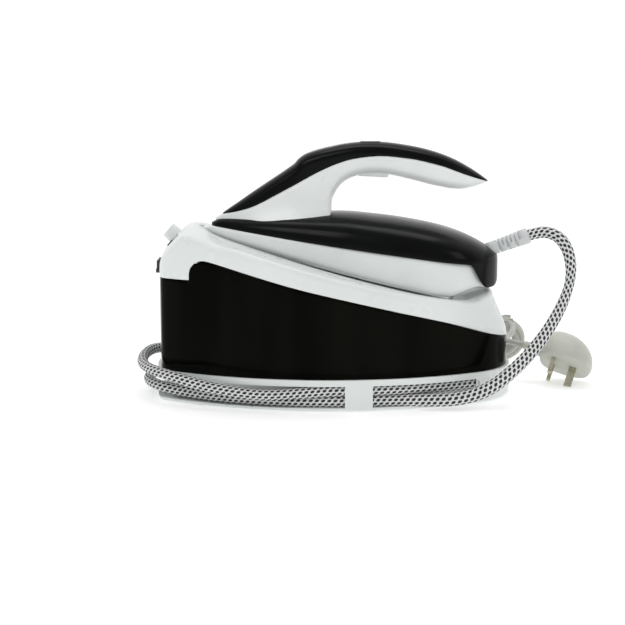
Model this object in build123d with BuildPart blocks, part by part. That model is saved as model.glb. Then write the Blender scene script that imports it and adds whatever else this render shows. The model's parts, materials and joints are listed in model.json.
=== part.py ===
"""Steam generator iron: a base station with water tank and boiler, and a steam iron on its rest.

Millimetres. +X points to the iron's heel and hose, -X to the nose, +Z up, and the station is symmetric
about the XZ plane. The origin is on the floor, below the middle of the station.
"""
import os
from math import acos, atan, atan2, cos, degrees, hypot, radians, sin, tan

from build123d import *

# ---------------------------------------------------------------- driving dimensions
NOSE_TIP = -183.5        # tank wall, foremost point
STERN_TIP = 183.5        # tank wall, rearmost point
HALF_WIDTH = 103.0       # tank wall, widest point
PLINTH_GROW = 3.0        # the plinth stands this much outside the tank wall
FEET = 1.5               # height of the feet below the plinth
GROOVE_Z = (4.6, 26.6)   # hose groove, lower and upper lip
GROOVE_DEEP = 11.2       # groove's inner wall, inside the tank wall's line
GROOVE_END_X = 146.0     # the groove stops here, before the round stern
PLINTH_TOP = 33.0
WALL = 2.5               # smoked tank wall
COVER_WALL = 3.0

SOLE_SLOPE = 0.2373      # fall of the iron's sole per mm towards the heel
SOLE_Z = 138.1           # height of the skirt's lower edge at X = 0
SHELL_SLOPE = 0.137      # fall of the skirt's upper edge
SHELL_Z = 160.8          # height of the skirt's upper edge at X = 0
SOLEPLATE_DROP = 3.5     # the soleplate stands this much below the skirt
PAD_THICK = 2.6          # rest pads under the soleplate
REST_GAP = 0.2           # sole above the pads
GRIP_HALF = 18.0         # half the width of the handle

HOSE_D = 10.5            # steam hose with its braided sleeve, as it lies in the groove
MAINS_D = 7.0            # mains lead
HIGH = 300.0             # taller than anything here

os.makedirs("parts", exist_ok=True)


def save(piece, label):
    """Label a finished piece and write its STEP file."""
    piece.part.label = label
    export_step(piece.part, f"parts/{label}.step")


# ---------------------------------------------------------------- shared outlines
def polar(centre, radius, angle):
    """The point at an angle (degrees from +X) on a circle."""
    return (centre[0] + radius * cos(radians(angle)), centre[1] + radius * sin(radians(angle)))


def bearing(start, end):
    """Angle of the line from start to end, in degrees from +X."""
    return degrees(atan2(end[1] - start[1], end[0] - start[0]))


# The plan is a chain of tangent arcs: nose, corner, side, stern. Growing it only changes the radii.
NOSE_R = 220.0
CORNER_R = 16.0
SIDE_X = -4.6
SIDE_R = 311.7
nose_c = (NOSE_TIP + NOSE_R, 0.0)
side_c = (SIDE_X, HALF_WIDTH - SIDE_R)
# The stern arc is centred on the axis and touches the side arc from inside.
stern_reach = STERN_TIP - SIDE_X
STERN_R = SIDE_R - (side_c[1] ** 2 + (SIDE_R - stern_reach) ** 2) / (2 * (SIDE_R - stern_reach))
stern_c = (STERN_TIP - STERN_R, 0.0)
# The corner arc touches the nose arc and the side arc from inside.
apart = hypot(nose_c[0] - side_c[0], nose_c[1] - side_c[1])
to_nose, to_side = NOSE_R - CORNER_R, SIDE_R - CORNER_R
lean = degrees(acos((apart ** 2 + to_side ** 2 - to_nose ** 2) / (2 * apart * to_side)))
corner_c = polar(side_c, to_side, bearing(side_c, nose_c) + lean)
PLAN_ARCS = [
    (corner_c, CORNER_R, bearing(nose_c, corner_c), bearing(side_c, corner_c)),
    (side_c, SIDE_R, bearing(side_c, corner_c), bearing(side_c, stern_c)),
    (stern_c, STERN_R, bearing(side_c, stern_c), 0.0),
]


def station_outline(grow, z):
    """The station's plan at height z: blunt nose, long side arcs and a round stern."""
    nose_turn = bearing(nose_c, corner_c)
    nose_end = polar(nose_c, NOSE_R + grow, nose_turn)
    with BuildSketch(Plane.XY.offset(z)) as plan:
        with BuildLine():
            ThreePointArc((nose_end[0], -nose_end[1]), (NOSE_TIP - grow, 0), nose_end)
            for centre, radius, start, end in PLAN_ARCS:
                upper = [polar(centre, radius + grow, turn) for turn in (start, (start + end) / 2, end)]
                ThreePointArc(*upper)
                ThreePointArc(*[(x, -y) for x, y in upper])
        make_face()
    return plan.sketch


def iron_outline(grow, tip, heel):
    """The iron's plan: a point at the nose, widest near the back, a rounded heel."""
    with BuildSketch(Plane.XY) as plan:
        with BuildLine():
            ThreePointArc((tip + 4, -9), (tip, 0), (tip + 4, 9))
            ThreePointArc((tip + 4, 9), (-20, 47), (heel - 82, 57.5))
            ThreePointArc((heel - 82, 57.5), (heel - 31, 47), (heel - 6, 22))
            ThreePointArc((heel - 6, 22), (heel, 0), (heel - 6, -22))
            ThreePointArc((heel - 6, -22), (heel - 31, -47), (heel - 82, -57.5))
            ThreePointArc((heel - 82, -57.5), (-20, -47), (tip + 4, -9))
        make_face()
        if grow != 0:
            offset(amount=grow)
    return plan.sketch


def sole_z(x, above=0.0):
    """Height of the plane that lies `above` the iron's sole line, measured square to it."""
    return SOLE_Z - SOLE_SLOPE * x + above * (1 + SOLE_SLOPE ** 2) ** 0.5


def skirt_z(x):
    """Height of the joint between the white skirt and the black shell."""
    return SHELL_Z - SHELL_SLOPE * x


def between_sole_planes(low, high):
    """Keep only what lies between two planes parallel to the sole, over the whole length."""
    with BuildSketch(Plane.XZ) as side:
        with BuildLine():
            Polyline(
                (-250, sole_z(-250, low)),
                (250, sole_z(250, low)),
                (250, sole_z(250, high)),
                (-250, sole_z(-250, high)),
                close=True,
            )
        make_face()
    extrude(side.sketch, amount=200, both=True, mode=Mode.INTERSECT)


def parting_line():
    """The joint between the tank wall and the cover: a step at the nose, then a long slope."""
    step = Polyline((-220, 128.7), (-146, 128.7), (-139, 152.4), (172, 70.2), (220, 61))
    return step


# ---------------------------------------------------------------- station: plinth and feet
with BuildPart() as groove:
    extrude(station_outline(40, GROOVE_Z[0]), amount=GROOVE_Z[1] - GROOVE_Z[0])
    extrude(station_outline(-GROOVE_DEEP, GROOVE_Z[0]), amount=GROOVE_Z[1] - GROOVE_Z[0], mode=Mode.SUBTRACT)
    with Locations((GROOVE_END_X + 100, 0, 20)):
        Box(200, 400, 60, mode=Mode.SUBTRACT)

# The hose enters the end wall of the front groove, along the groove.
INLET = Plane(origin=(GROOVE_END_X, -59.6, 20.9), x_dir=(0, 0, 1), z_dir=(cos(radians(27)), sin(radians(27)), 0))
INLET_R = 8.0
# The mains lead leaves the plinth at the back, square to the wall.
GLAND = Plane(origin=(151.6, 64.3, 16), x_dir=(0, 0, 1), z_dir=(0.545, 0.8385, 0))
GLAND_R = 6.5
SCREWS = [(-140, -40), (-140, 40), (130, -40), (130, 40)]
FOOT_PLACES = [(-135, -62), (-135, 62), (128, -58), (128, 58)]

with BuildPart() as base_plinth:
    extrude(station_outline(PLINTH_GROW, FEET), amount=PLINTH_TOP - FEET)
    chamfer(base_plinth.edges().group_by(Axis.Z)[0], length=1.5)
    extrude(station_outline(-GROOVE_DEEP - 2.5, FEET + 3), amount=PLINTH_TOP, mode=Mode.SUBTRACT)
    add(groove.part, mode=Mode.SUBTRACT)
    with BuildSketch(INLET.offset(-1)):
        Circle(INLET_R)
    extrude(amount=14, mode=Mode.SUBTRACT)
    with BuildSketch(INLET):
        Circle(HOSE_D / 2 + 0.2)
    extrude(amount=-10, mode=Mode.SUBTRACT)
    with BuildSketch(GLAND.offset(-16)):
        Circle(GLAND_R)
    extrude(amount=30, mode=Mode.SUBTRACT)
    with Locations(*[(x, y, FEET) for x, y in FOOT_PLACES]):
        Cylinder(8, 1, align=(Align.CENTER, Align.CENTER, Align.MIN), mode=Mode.SUBTRACT)
    with Locations(*[(x, y, FEET) for x, y in SCREWS]):
        Cylinder(2, 3, align=(Align.CENTER, Align.CENTER, Align.MIN), mode=Mode.SUBTRACT)
        Cylinder(3.6, 1.4, align=(Align.CENTER, Align.CENTER, Align.MIN), mode=Mode.SUBTRACT)
save(base_plinth, "base_plinth")

with BuildPart() as rubber_feet:
    with Locations(*[(x, y, 0) for x, y in FOOT_PLACES]):
        Cylinder(8, FEET + 1, align=(Align.CENTER, Align.CENTER, Align.MIN))
    chamfer(rubber_feet.edges().group_by(Axis.Z)[0], length=0.5)
save(rubber_feet, "rubber_feet")

with BuildPart() as base_screws:
    with Locations(*[(x, y, FEET) for x, y in SCREWS]):
        Cylinder(2, 12, align=(Align.CENTER, Align.CENTER, Align.MIN))
        Cylinder(3.6, 1.4, align=(Align.CENTER, Align.CENTER, Align.MIN))
        with BuildSketch():
            RectangleRounded(4, 1, 0.3)
            RectangleRounded(1, 4, 0.3)
        extrude(amount=0.9, mode=Mode.SUBTRACT)
save(base_screws, "base_screws")

# The clip holds the wound hose in the front groove.
with BuildPart() as hose_clip:
    extrude(station_outline(PLINTH_GROW, 3), amount=25)
    extrude(station_outline(PLINTH_GROW - 2.2, 3), amount=25, mode=Mode.SUBTRACT)
    with Locations((25, -105, 15)):
        Box(28, 40, 40, mode=Mode.INTERSECT)
    add(base_plinth.part, mode=Mode.SUBTRACT)
save(hose_clip, "hose_clip")

with BuildPart() as hose_inlet:
    with BuildSketch(INLET):
        Circle(INLET_R)
    extrude(amount=12)
    with BuildSketch(INLET.offset(3)):
        Circle(HOSE_D / 2 - 1.5)
    extrude(amount=9, mode=Mode.SUBTRACT)
save(hose_inlet, "hose_inlet")

with BuildPart() as mains_gland:
    with BuildSketch(GLAND.offset(-12)):
        Circle(GLAND_R)
    extrude(amount=12)
    with BuildSketch(GLAND):
        Circle(GLAND_R - 1)
    extrude(amount=10, taper=4)
    add(base_plinth.part, mode=Mode.SUBTRACT)
save(mains_gland, "mains_gland")

# ---------------------------------------------------------------- station: tank wall, cover, rest
with BuildPart() as tank_shell:
    extrude(station_outline(0, PLINTH_TOP), amount=HIGH)
    extrude(station_outline(-WALL, PLINTH_TOP), amount=HIGH, mode=Mode.SUBTRACT)
    with BuildSketch(Plane.XZ):
        with BuildLine():
            line = parting_line()
            Polyline(line @ 1, (220, 0), (-220, 0), line @ 0)
        make_face()
    extrude(amount=200, both=True, mode=Mode.INTERSECT)
save(tank_shell, "tank_shell")


def cover_side(drop):
    """The cover's side view above the parting line, its upper edge lowered by `drop`."""
    with BuildSketch(Plane.XZ) as side:
        with BuildLine():
            low = [(-220, 128.7), (-146, 128.7), (-139, 152.4), (172, 70.2), (220, 61)]
            high = [
                (184.5 - drop, 69),
                (182 - drop, 78),
                (175 - drop, 94),
                (170 - drop, 105 - drop),
                (162, 108.5 - drop),
                (138, 103.6 - drop),
                (119, 108.5 - drop),
                (-131, 176 - drop),
                (-135, 182 - drop),
                (-151, 182 - drop),
                (-159 + 0.4 * drop, 174.5 - drop),
                (-179 + drop, 151.5 - drop),
                (-182.6 + drop, 142 - 0.4 * drop),
                (-183 + drop, 128.7),
            ]
            if drop > 0:
                low = [(-183 + drop, 100), (-139, 100), (150, 40), (184.5 - drop, 40)]
            else:
                low = low[1:4] + [(184.5, 67.8)]
            Polyline(*low, *high, close=True)
        make_face()
    extrude(side.sketch, amount=200, both=True, mode=Mode.INTERSECT)


RECESS_Z = -SOLEPLATE_DROP - REST_GAP - PAD_THICK      # rest floor, square below the sole line
with BuildPart() as recess:
    extrude(iron_outline(4, -126, 167), amount=HIGH)
    between_sole_planes(RECESS_Z, 60)

with BuildPart() as recess_wall:
    extrude(iron_outline(7, -126, 167), amount=HIGH)
    between_sole_planes(RECESS_Z - 3, 60)

with BuildPart() as cover_core:
    extrude(station_outline(-COVER_WALL, 20), amount=HIGH)
    cover_side(COVER_WALL)
    add(recess_wall.part, mode=Mode.SUBTRACT)

# Control panel: a plate let into the sloping nose of the cover.
PANEL = Plane(origin=(-169, 0, 163), x_dir=(0, 1, 0), z_dir=(-0.7546, 0, 0.6562))
PANEL_SIZE = (58, 22)
KNOB_AT = (0, -4)
BUTTON_AT = [(-17, 3), (17, 3)]
BUTTON_SIZE = (11, 7)
FLAP_Z = (131.2, 142.0)    # filler flap on the nose
FLAP_HALF = 15.0
FLAP_AXIS = (-185.0, 132.4)

with BuildPart() as top_cover:
    extrude(station_outline(0, 20), amount=HIGH)
    cover_side(0)
    add(cover_core.part, mode=Mode.SUBTRACT)
    add(recess.part, mode=Mode.SUBTRACT)
    with BuildSketch(PANEL.offset(-2)):
        RectangleRounded(*PANEL_SIZE, 4)
    extrude(amount=20, mode=Mode.SUBTRACT)
    with BuildSketch(PANEL.offset(-12)):
        RectangleRounded(PANEL_SIZE[0] - 8, PANEL_SIZE[1] - 7, 2)
    extrude(amount=12, mode=Mode.SUBTRACT)
    with Locations((-180, 0, 137)):
        Box(12, 26, 7, mode=Mode.SUBTRACT)
save(top_cover, "top_cover")

with BuildPart() as rest_pads:
    with BuildSketch(Plane.XY):
        with Locations((60, 34), (60, -34)):
            RectangleRounded(70, 9, 4)
        with Locations((-45, 16), (-45, -16)):
            RectangleRounded(50, 8, 3.5)
    extrude(amount=HIGH)
    between_sole_planes(RECESS_Z, RECESS_Z + PAD_THICK)
save(rest_pads, "rest_pads")

with BuildPart() as control_panel:
    with BuildSketch(PANEL.offset(-2)):
        RectangleRounded(PANEL_SIZE[0] - 0.4, PANEL_SIZE[1] - 0.4, 3.8)
        with Locations(KNOB_AT):
            Circle(3.05, mode=Mode.SUBTRACT)
        with Locations(*BUTTON_AT):
            RectangleRounded(BUTTON_SIZE[0] + 0.8, BUTTON_SIZE[1] + 0.8, 1.4, mode=Mode.SUBTRACT)
    extrude(amount=2)
save(control_panel, "control_panel")

with BuildPart() as control_pcb:
    with BuildSketch(PANEL.offset(-9.6)):
        Rectangle(PANEL_SIZE[0] - 12, PANEL_SIZE[1] - 9)
    extrude(amount=1.6)
save(control_pcb, "control_pcb")

with BuildPart() as steam_knob:
    with BuildSketch(PANEL.offset(0.5)):
        with Locations(KNOB_AT):
            Circle(9)
    extrude(amount=11, taper=4)
    fillet(steam_knob.faces().sort_by(Axis.X)[0].edges(), radius=1.2)
    with BuildSketch(PANEL.offset(-6)):
        with Locations(KNOB_AT):
            Circle(3)
    extrude(amount=8)
    with BuildSketch(PANEL.offset(8)):
        with Locations((KNOB_AT[0], KNOB_AT[1] - 5.5)):
            RectangleRounded(1.2, 4, 0.5)
    extrude(amount=6, mode=Mode.SUBTRACT)
save(steam_knob, "steam_knob")


def panel_button(place):
    """A push button in the panel, with a flange behind the plate that keeps it in."""
    with BuildPart() as button:
        with BuildSketch(PANEL.offset(-3.4)):
            with Locations(place):
                RectangleRounded(*BUTTON_SIZE, 1.2)
        extrude(amount=4.9)
        fillet(button.faces().sort_by(Axis.X)[0].edges(), radius=0.6)
    return button


power_button = panel_button(BUTTON_AT[0])
save(power_button, "power_button")
mode_button = panel_button(BUTTON_AT[1])
save(mode_button, "mode_button")

# Filler flap: a small door over the tank's filler, hinged at its lower edge.
with BuildPart() as filler_flap:
    with Locations((-185.0, 0, (FLAP_Z[0] + FLAP_Z[1]) / 2)):
        Box(2.2, 2 * FLAP_HALF, FLAP_Z[1] - FLAP_Z[0])
    fillet(filler_flap.edges().filter_by(Axis.X).group_by(Axis.Z)[-1], radius=2)
    with BuildSketch(Plane.XZ):
        with Locations(FLAP_AXIS):
            Circle(0.9)
    extrude(amount=FLAP_HALF + 2.2, both=True)
    with Locations((-186.2, 0, FLAP_Z[1] - 1.4)):
        Box(0.6, 12, 1.6)
save(filler_flap, "filler_flap")

with BuildPart() as flap_ears:
    with Locations((-184.5, FLAP_HALF + 1.8, 131.9), (-184.5, -FLAP_HALF - 1.8, 131.9)):
        Box(4, 3, 4.4)
    with BuildSketch(Plane.XZ):
        with Locations(FLAP_AXIS):
            Circle(0.95)
    extrude(amount=30, both=True, mode=Mode.SUBTRACT)
    add(top_cover.part, mode=Mode.SUBTRACT)
save(flap_ears, "flap_ears")

# ---------------------------------------------------------------- station: inside the tank wall
with BuildPart() as tank_water_space:
    extrude(station_outline(-WALL - 2.6, PLINTH_TOP + 2.5), amount=120)
    with Locations((-111, 0, 100)):
        Box(178, 260, 200, mode=Mode.INTERSECT)

with BuildPart() as water_tank:
    extrude(station_outline(-WALL - 0.6, PLINTH_TOP + 0.5), amount=84)
    with Locations((-110, 0, 80)):
        Box(180, 260, 200, mode=Mode.INTERSECT)
    add(tank_water_space.part, mode=Mode.SUBTRACT)
save(water_tank, "water_tank")

BOILER_AT = (70, 0)
with BuildPart() as boiler:
    with Locations((BOILER_AT[0], BOILER_AT[1], 36)):
        Cylinder(50, 44, align=(Align.CENTER, Align.CENTER, Align.MIN))
    fillet(boiler.edges().group_by(Axis.Z)[-1], radius=8)
    fillet(boiler.edges().group_by(Axis.Z)[0], radius=8)
    offset(amount=-1.5, kind=Kind.INTERSECTION, mode=Mode.SUBTRACT)
save(boiler, "boiler")

with BuildPart() as boiler_heater:
    with Locations((BOILER_AT[0], BOILER_AT[1], 30.0)):
        Cylinder(36, 6, align=(Align.CENTER, Align.CENTER, Align.MIN))
save(boiler_heater, "boiler_heater")

with BuildPart() as boiler_band:
    with Locations((BOILER_AT[0], BOILER_AT[1], 54)):
        Cylinder(51.2, 8, align=(Align.CENTER, Align.CENTER, Align.MIN))
        Cylinder(50, 8, align=(Align.CENTER, Align.CENTER, Align.MIN), mode=Mode.SUBTRACT)
    with Locations((BOILER_AT[0], 56, 54), (BOILER_AT[0], -56, 54)):
        Box(16, 12, 8, align=(Align.CENTER, Align.CENTER, Align.MIN))
    with Locations((BOILER_AT[0], BOILER_AT[1], 54)):
        Cylinder(50, 8, align=(Align.CENTER, Align.CENTER, Align.MIN), mode=Mode.SUBTRACT)
save(boiler_band, "boiler_band")

with BuildPart() as pump:
    with Locations((-2, 48, 33.5)):
        Box(30, 34, 30, align=(Align.CENTER, Align.CENTER, Align.MIN))
    with Locations((-2, 48, 63.5)):
        Cylinder(12, 18, align=(Align.CENTER, Align.CENTER, Align.MIN))
    with Locations((-2, 48, 81.5)):
        Cylinder(4, 6, align=(Align.CENTER, Align.CENTER, Align.MIN))
save(pump, "pump")

with BuildPart() as solenoid_valve:
    with Locations((148, 0, 34)):
        Box(22, 26, 24, align=(Align.CENTER, Align.CENTER, Align.MIN))
    with Locations((148, 0, 58)):
        Cylinder(5, 6, align=(Align.CENTER, Align.CENTER, Align.MIN))
save(solenoid_valve, "solenoid_valve")

with BuildPart() as feed_pipe:
    with BuildLine() as feed_path:
        FilletPolyline((-2, 48, 87.5), (-2, 48, 98), (40, 20, 98), (60, 8, 98), (60, 8, 80), radius=6)
    with BuildSketch(Plane(origin=feed_path.line @ 0, z_dir=feed_path.line % 0)):
        Circle(3)
    sweep(path=feed_path.line)
save(feed_pipe, "feed_pipe")

with BuildPart() as steam_pipe:
    with BuildLine() as steam_path:
        FilletPolyline((120, 0, 69), (148, 0, 69), (148, 0, 64), radius=4)
    with BuildSketch(Plane(origin=steam_path.line @ 0, z_dir=steam_path.line % 0)):
        Circle(2.5)
    sweep(path=steam_path.line)
save(steam_pipe, "steam_pipe")

# ---------------------------------------------------------------- iron: sole, skirt, shell
with BuildPart() as soleplate:
    extrude(iron_outline(-3.3, -126, 167), amount=HIGH)
    with Locations((124 - 200, 0, 150)):
        Box(400, 200, 400, mode=Mode.INTERSECT)
    fillet(soleplate.edges().filter_by(Axis.Z).group_by(Axis.X)[-1], radius=20)
    between_sole_planes(-SOLEPLATE_DROP, 3)
save(soleplate, "soleplate")

with BuildPart() as steam_chamber:
    extrude(iron_outline(-9, -112, 167), amount=HIGH)
    with Locations((116 - 200, 0, 150)):
        Box(400, 200, 400, mode=Mode.INTERSECT)
    fillet(steam_chamber.edges().filter_by(Axis.Z).group_by(Axis.X)[-1], radius=18)
    between_sole_planes(3, 12)
save(steam_chamber, "steam_chamber")

with BuildPart() as thermostat:
    with Locations((70, 0, 145)):
        Cylinder(12, 20)
    between_sole_planes(12, 20)
save(thermostat, "thermostat")


def skirt_side(inset):
    """The skirt's side view: from the sole line up to the shell, cut off on a slant at the heel."""
    with BuildSketch(Plane.XZ) as side:
        with BuildLine():
            below = Line((-140, sole_z(-140, inset * 0.6)), (106, sole_z(106, inset * 0.6)))
            heel = Spline(below @ 1, (128, 116.5 + inset), (150 - inset, 120.5 + inset), tangents=[below % 1, (1, 0)])
            Polyline(
                heel @ 1,
                (157.5 - inset, 120.5 + inset),
                (142 - inset, skirt_z(142)),
                (-140, skirt_z(-140)),
                below @ 0,
            )
        make_face()
    extrude(side.sketch, amount=100, both=True, mode=Mode.INTERSECT)


with BuildPart() as skirt_core:
    extrude(iron_outline(-3, -126, 167), amount=HIGH)
    with BuildSketch(Plane.XZ):
        with BuildLine():
            Polyline((-140, 100), (139, 100), (139, skirt_z(139)), (-140, skirt_z(-140)), close=True)
        make_face()
    extrude(amount=100, both=True, mode=Mode.INTERSECT)

with BuildPart() as iron_skirt:
    extrude(iron_outline(0, -126, 167), amount=HIGH)
    skirt_side(0)
    add(skirt_core.part, mode=Mode.SUBTRACT)
save(iron_skirt, "iron_skirt")


def shell_side(inset):
    """The black shell's side view: the dome, and the heel that wraps round the skirt's end."""
    with BuildSketch(Plane.XZ) as side:
        with BuildLine():
            top = Spline(
                (-129, 181.5 - inset),
                (-60, 189.6 - inset),
                (6, 192.7 - inset),
                (48, 188.8 - inset),
                (91, 182.7 - inset),
                (122, 175 - inset),
                (144, 166 - inset),
                (165 - 0.5 * inset, 154 - inset),
            )
            Polyline(
                top @ 1,
                (172.6 - inset, 147),
                (172.6 - inset, 127),
                (166 - inset, 119.5 + inset),
                (157.5 + 0.3 * inset, 120.5 + inset),
                (142 + 0.3 * inset, skirt_z(142) - 0.5 * inset),
                (-129, skirt_z(-129) - inset),
                top @ 0,
            )
        make_face()
    extrude(side.sketch, amount=100, both=True, mode=Mode.INTERSECT)


def dome_arch(inset):
    """Round the shell across its width: an arch drawn square to the shell's slope."""
    fall = atan(SHELL_SLOPE)
    along = Plane(origin=(-160, 0, skirt_z(-160)), x_dir=(0, 1, 0), z_dir=(cos(fall), 0, -sin(fall)))
    with BuildSketch(along) as side:
        with Locations((0, 0)):
            Ellipse(60 - inset, 38 - inset)
            with Locations((0, -30)):
                Rectangle(120 - 2 * inset, 60)
    extrude(side.sketch, amount=360, mode=Mode.INTERSECT)


BOOT = Plane(origin=(160, 0, 154.5), x_dir=(0, 1, 0), z_dir=(cos(radians(15.5)), 0, sin(radians(15.5))))
BOOT_LONG = 46.7

with BuildPart() as shell_core:
    extrude(iron_outline(-3, -129, 173), amount=HIGH)
    shell_side(3)
    dome_arch(3)

with BuildPart() as iron_shell:
    extrude(iron_outline(0, -129, 173), amount=HIGH)
    shell_side(0)
    dome_arch(0)
    add(shell_core.part, mode=Mode.SUBTRACT)
    with BuildSketch(BOOT.offset(-10)):
        Circle(9.1)
    extrude(amount=40, mode=Mode.SUBTRACT)
save(iron_shell, "iron_shell")

# ---------------------------------------------------------------- iron: handle
def grip_mass():
    """The whole open handle, black top and white underside together."""
    with BuildSketch(Plane.XZ) as side:
        with BuildLine():
            back = Spline(
                (-120, 188.5),
                (-88, 211.5),
                (-46, 240),
                (-25, 255),
                (17, 265),
                (59, 265.3),
                (101, 257.2),
                (143, 239.5),
                (160, 231.5),
            )
            under = Spline(
                (160, 220),
                (143, 218.8),
                (111, 220),
                (69, 230),
                (43, 234),
                (20, 230.5),
                (6, 222),
                (-3, 203),
                (-3, 175),
            )
            Line(back @ 1, under @ 0)
            Polyline(under @ 1, (-120, 175), back @ 0)
        make_face()
    extrude(side.sketch, amount=GRIP_HALF, both=True)
    long_edges = [edge for edge in edges() if edge.length > 150]
    fillet(long_edges, radius=5)


def handle_split(upper):
    """Keep the black top or the white underside of the handle."""
    with BuildSketch(Plane.XZ) as side:
        with BuildLine():
            joint = Spline(
                (-116, 190.5),
                (-88, 197),
                (-35, 225),
                (6, 245),
                (48, 252),
                (79, 249),
                (110, 242),
                (141, 231),
                (163, 224.5),
            )
            far = 290 if upper else 160
            Polyline(joint @ 1, (190, (joint @ 1).Y), (190, far), (-150, far), (-150, 189.5), joint @ 0)
        make_face()
    extrude(side.sketch, amount=60, both=True, mode=Mode.INTERSECT)


TRIGGER = Plane(origin=(41, 0, 233.5), x_dir=(1, 0, -0.05), z_dir=(-0.05, 0, -1))
TRIGGER_SIZE = (32, 13)
TOP_BUTTON = Plane(origin=(38, 0, 265), x_dir=(1, 0, 0), z_dir=(0, 0, 1))
TOP_BUTTON_SIZE = (22, 11)

with BuildPart() as handle_lower:
    grip_mass()
    handle_split(upper=False)
    add(iron_shell.part, mode=Mode.SUBTRACT)
    add(shell_core.part, mode=Mode.SUBTRACT)
    add(iron_skirt.part, mode=Mode.SUBTRACT)
    with BuildSketch(TRIGGER.offset(-12)):
        RectangleRounded(TRIGGER_SIZE[0] + 0.8, TRIGGER_SIZE[1] + 0.8, 4)
    extrude(amount=40, mode=Mode.SUBTRACT)
save(handle_lower, "handle_lower")

with BuildPart() as handle_top:
    grip_mass()
    handle_split(upper=True)
    with BuildSketch(TOP_BUTTON.offset(-6)):
        RectangleRounded(TOP_BUTTON_SIZE[0] + 0.8, TOP_BUTTON_SIZE[1] + 0.8, 4)
    extrude(amount=20, mode=Mode.SUBTRACT)
save(handle_top, "handle_top")

with BuildPart() as steam_trigger:
    with BuildSketch(TRIGGER.offset(-8)):
        RectangleRounded(*TRIGGER_SIZE, 3.6)
    extrude(amount=12)
    fillet(steam_trigger.faces().sort_by(Axis.Z)[0].edges(), radius=1.5)
save(steam_trigger, "steam_trigger")

with BuildPart() as steam_button:
    with BuildSketch(TOP_BUTTON.offset(-3)):
        RectangleRounded(*TOP_BUTTON_SIZE, 3.6)
    extrude(amount=4.2)
    fillet(steam_button.faces().sort_by(Axis.Z)[-1].edges(), radius=1)
save(steam_button, "steam_button")

# ---------------------------------------------------------------- cords
def cord_radii(route):
    """The arc radius at each corner of a cord's route, as large as its two runs allow."""
    points = [Vector(*p) for p in route]
    radii = []
    for before, here, after in zip(points, points[1:], points[2:]):
        run_in, run_out = here - before, after - here
        shorter = min(run_in.length, run_out.length)
        radii.append(0.45 * shorter / tan(radians(run_in.get_angle(run_out)) / 2))
    return radii


def cord_tube(route, radii, diameter):
    """A plain round tube along straight runs joined by tangent arcs."""
    with BuildPart() as tube:
        with BuildLine():
            path = FilletPolyline(*route, radius=radii)
        with BuildSketch(Plane(origin=path @ 0, z_dir=path % 0)) as section:
            Circle(diameter / 2)
        sweep(section.sketch, path=path)
    filled = tube.part.volume / (section.sketch.area * path.length)
    print("cord length", round(path.length, 1), "volume over section times length", round(filled, 4))
    return tube


BOOT_TIP = tuple(BOOT.from_local_coords((0, 0, BOOT_LONG)))

with BuildPart() as hose_boot:
    with BuildSketch(BOOT.offset(-4)):
        Circle(9)
    extrude(amount=12)
    with BuildSketch(BOOT.offset(8)):
        Circle(8.7)
    extrude(amount=BOOT_LONG - 8, taper=1.2)
    for ring in range(5):
        with BuildSketch(BOOT.offset(14 + 6 * ring)):
            Circle(12)
            Circle(6.8, mode=Mode.SUBTRACT)
        extrude(amount=1.8, mode=Mode.SUBTRACT)
save(hose_boot, "hose_boot")

# Steam hose, from the iron's heel, down to the front groove, round the nose, folded back behind the
# station, round the nose again and along the front groove into the plinth.
HOSE_LOOP = [
    BOOT_TIP,
    tuple(BOOT.from_local_coords((0, 0, BOOT_LONG + 8))),
    (223, -2, 171.2),
    (235, -7, 167.5),
    (243, -11.5, 158.5),
    (247.5, -17, 145),
    (248, -24, 128),
    (242, -33, 108),
]
HOSE_DOWN = [
    (228, -46, 84),
    (209, -60, 60),
    (185, -76, 39),
    (158, -88, 20),
    (127, -94.5, 11.2),
    (95, -92, 9.95),
    (60, -92, 9.95),
    (25, -97, 9.95),
    (-12, -98.3, 9.95),
    (-50, -94.8, 9.95),
    (-88, -86.5, 10),
    (-122, -74.5, 10.3),
    (-152, -60, 11.5),
    (-180, -46, 14.5),
    (-196, -22, 15.8),
    (-198, 10, 15.8),
    (-188, 42, 14.5),
    (-164, 64, 12),
    (-132, 77, 10.3),
    (-98, 88, 10),
    (-62, 101.5, 10.6),
    (-32, 118, 8.6),
    (-14, 142, 6),
    (-13, 170, 5.5),
    (-29, 193, 5.5),
    (-56, 202, 5.5),
    (-83, 192, 5.6),
    (-101, 169, 7.5),
    (-116, 144, 12),
    (-135, 120, 18.5),
    (-158, 97, 26),
    (-181, 73, 33),
    (-198, 43, 38),
    (-205, 10, 36.5),
    (-202, -23, 33.5),
    (-189, -51, 33),
    (-166, -73, 31),
    (-138, -88.5, 25.5),
    (-106, -98.5, 20.5),
    (-72, -104, 17.5),
    (-38, -103.5, 19.3),
    (-4, -99.3, 20.9),
    (30, -96.4, 20.9),
    (64, -91, 20.9),
    (94, -82.6, 20.9),
    tuple(INLET.from_local_coords((0, 0, -26))),
    tuple(INLET.origin),
]
hose_route = HOSE_LOOP + HOSE_DOWN
hose_radii = cord_radii(hose_route)
print("hose radii", [round(r, 1) for r in hose_radii])
cut = (Vector(*HOSE_LOOP[-1]) + Vector(*HOSE_DOWN[0])) / 2
corners = len(HOSE_LOOP) - 1

hose_loop = cord_tube(HOSE_LOOP + [tuple(cut)], hose_radii[:corners], HOSE_D)
save(hose_loop, "hose_loop")
hose_wound = cord_tube([tuple(cut)] + HOSE_DOWN, hose_radii[corners:], HOSE_D)
save(hose_wound, "hose_wound")

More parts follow.
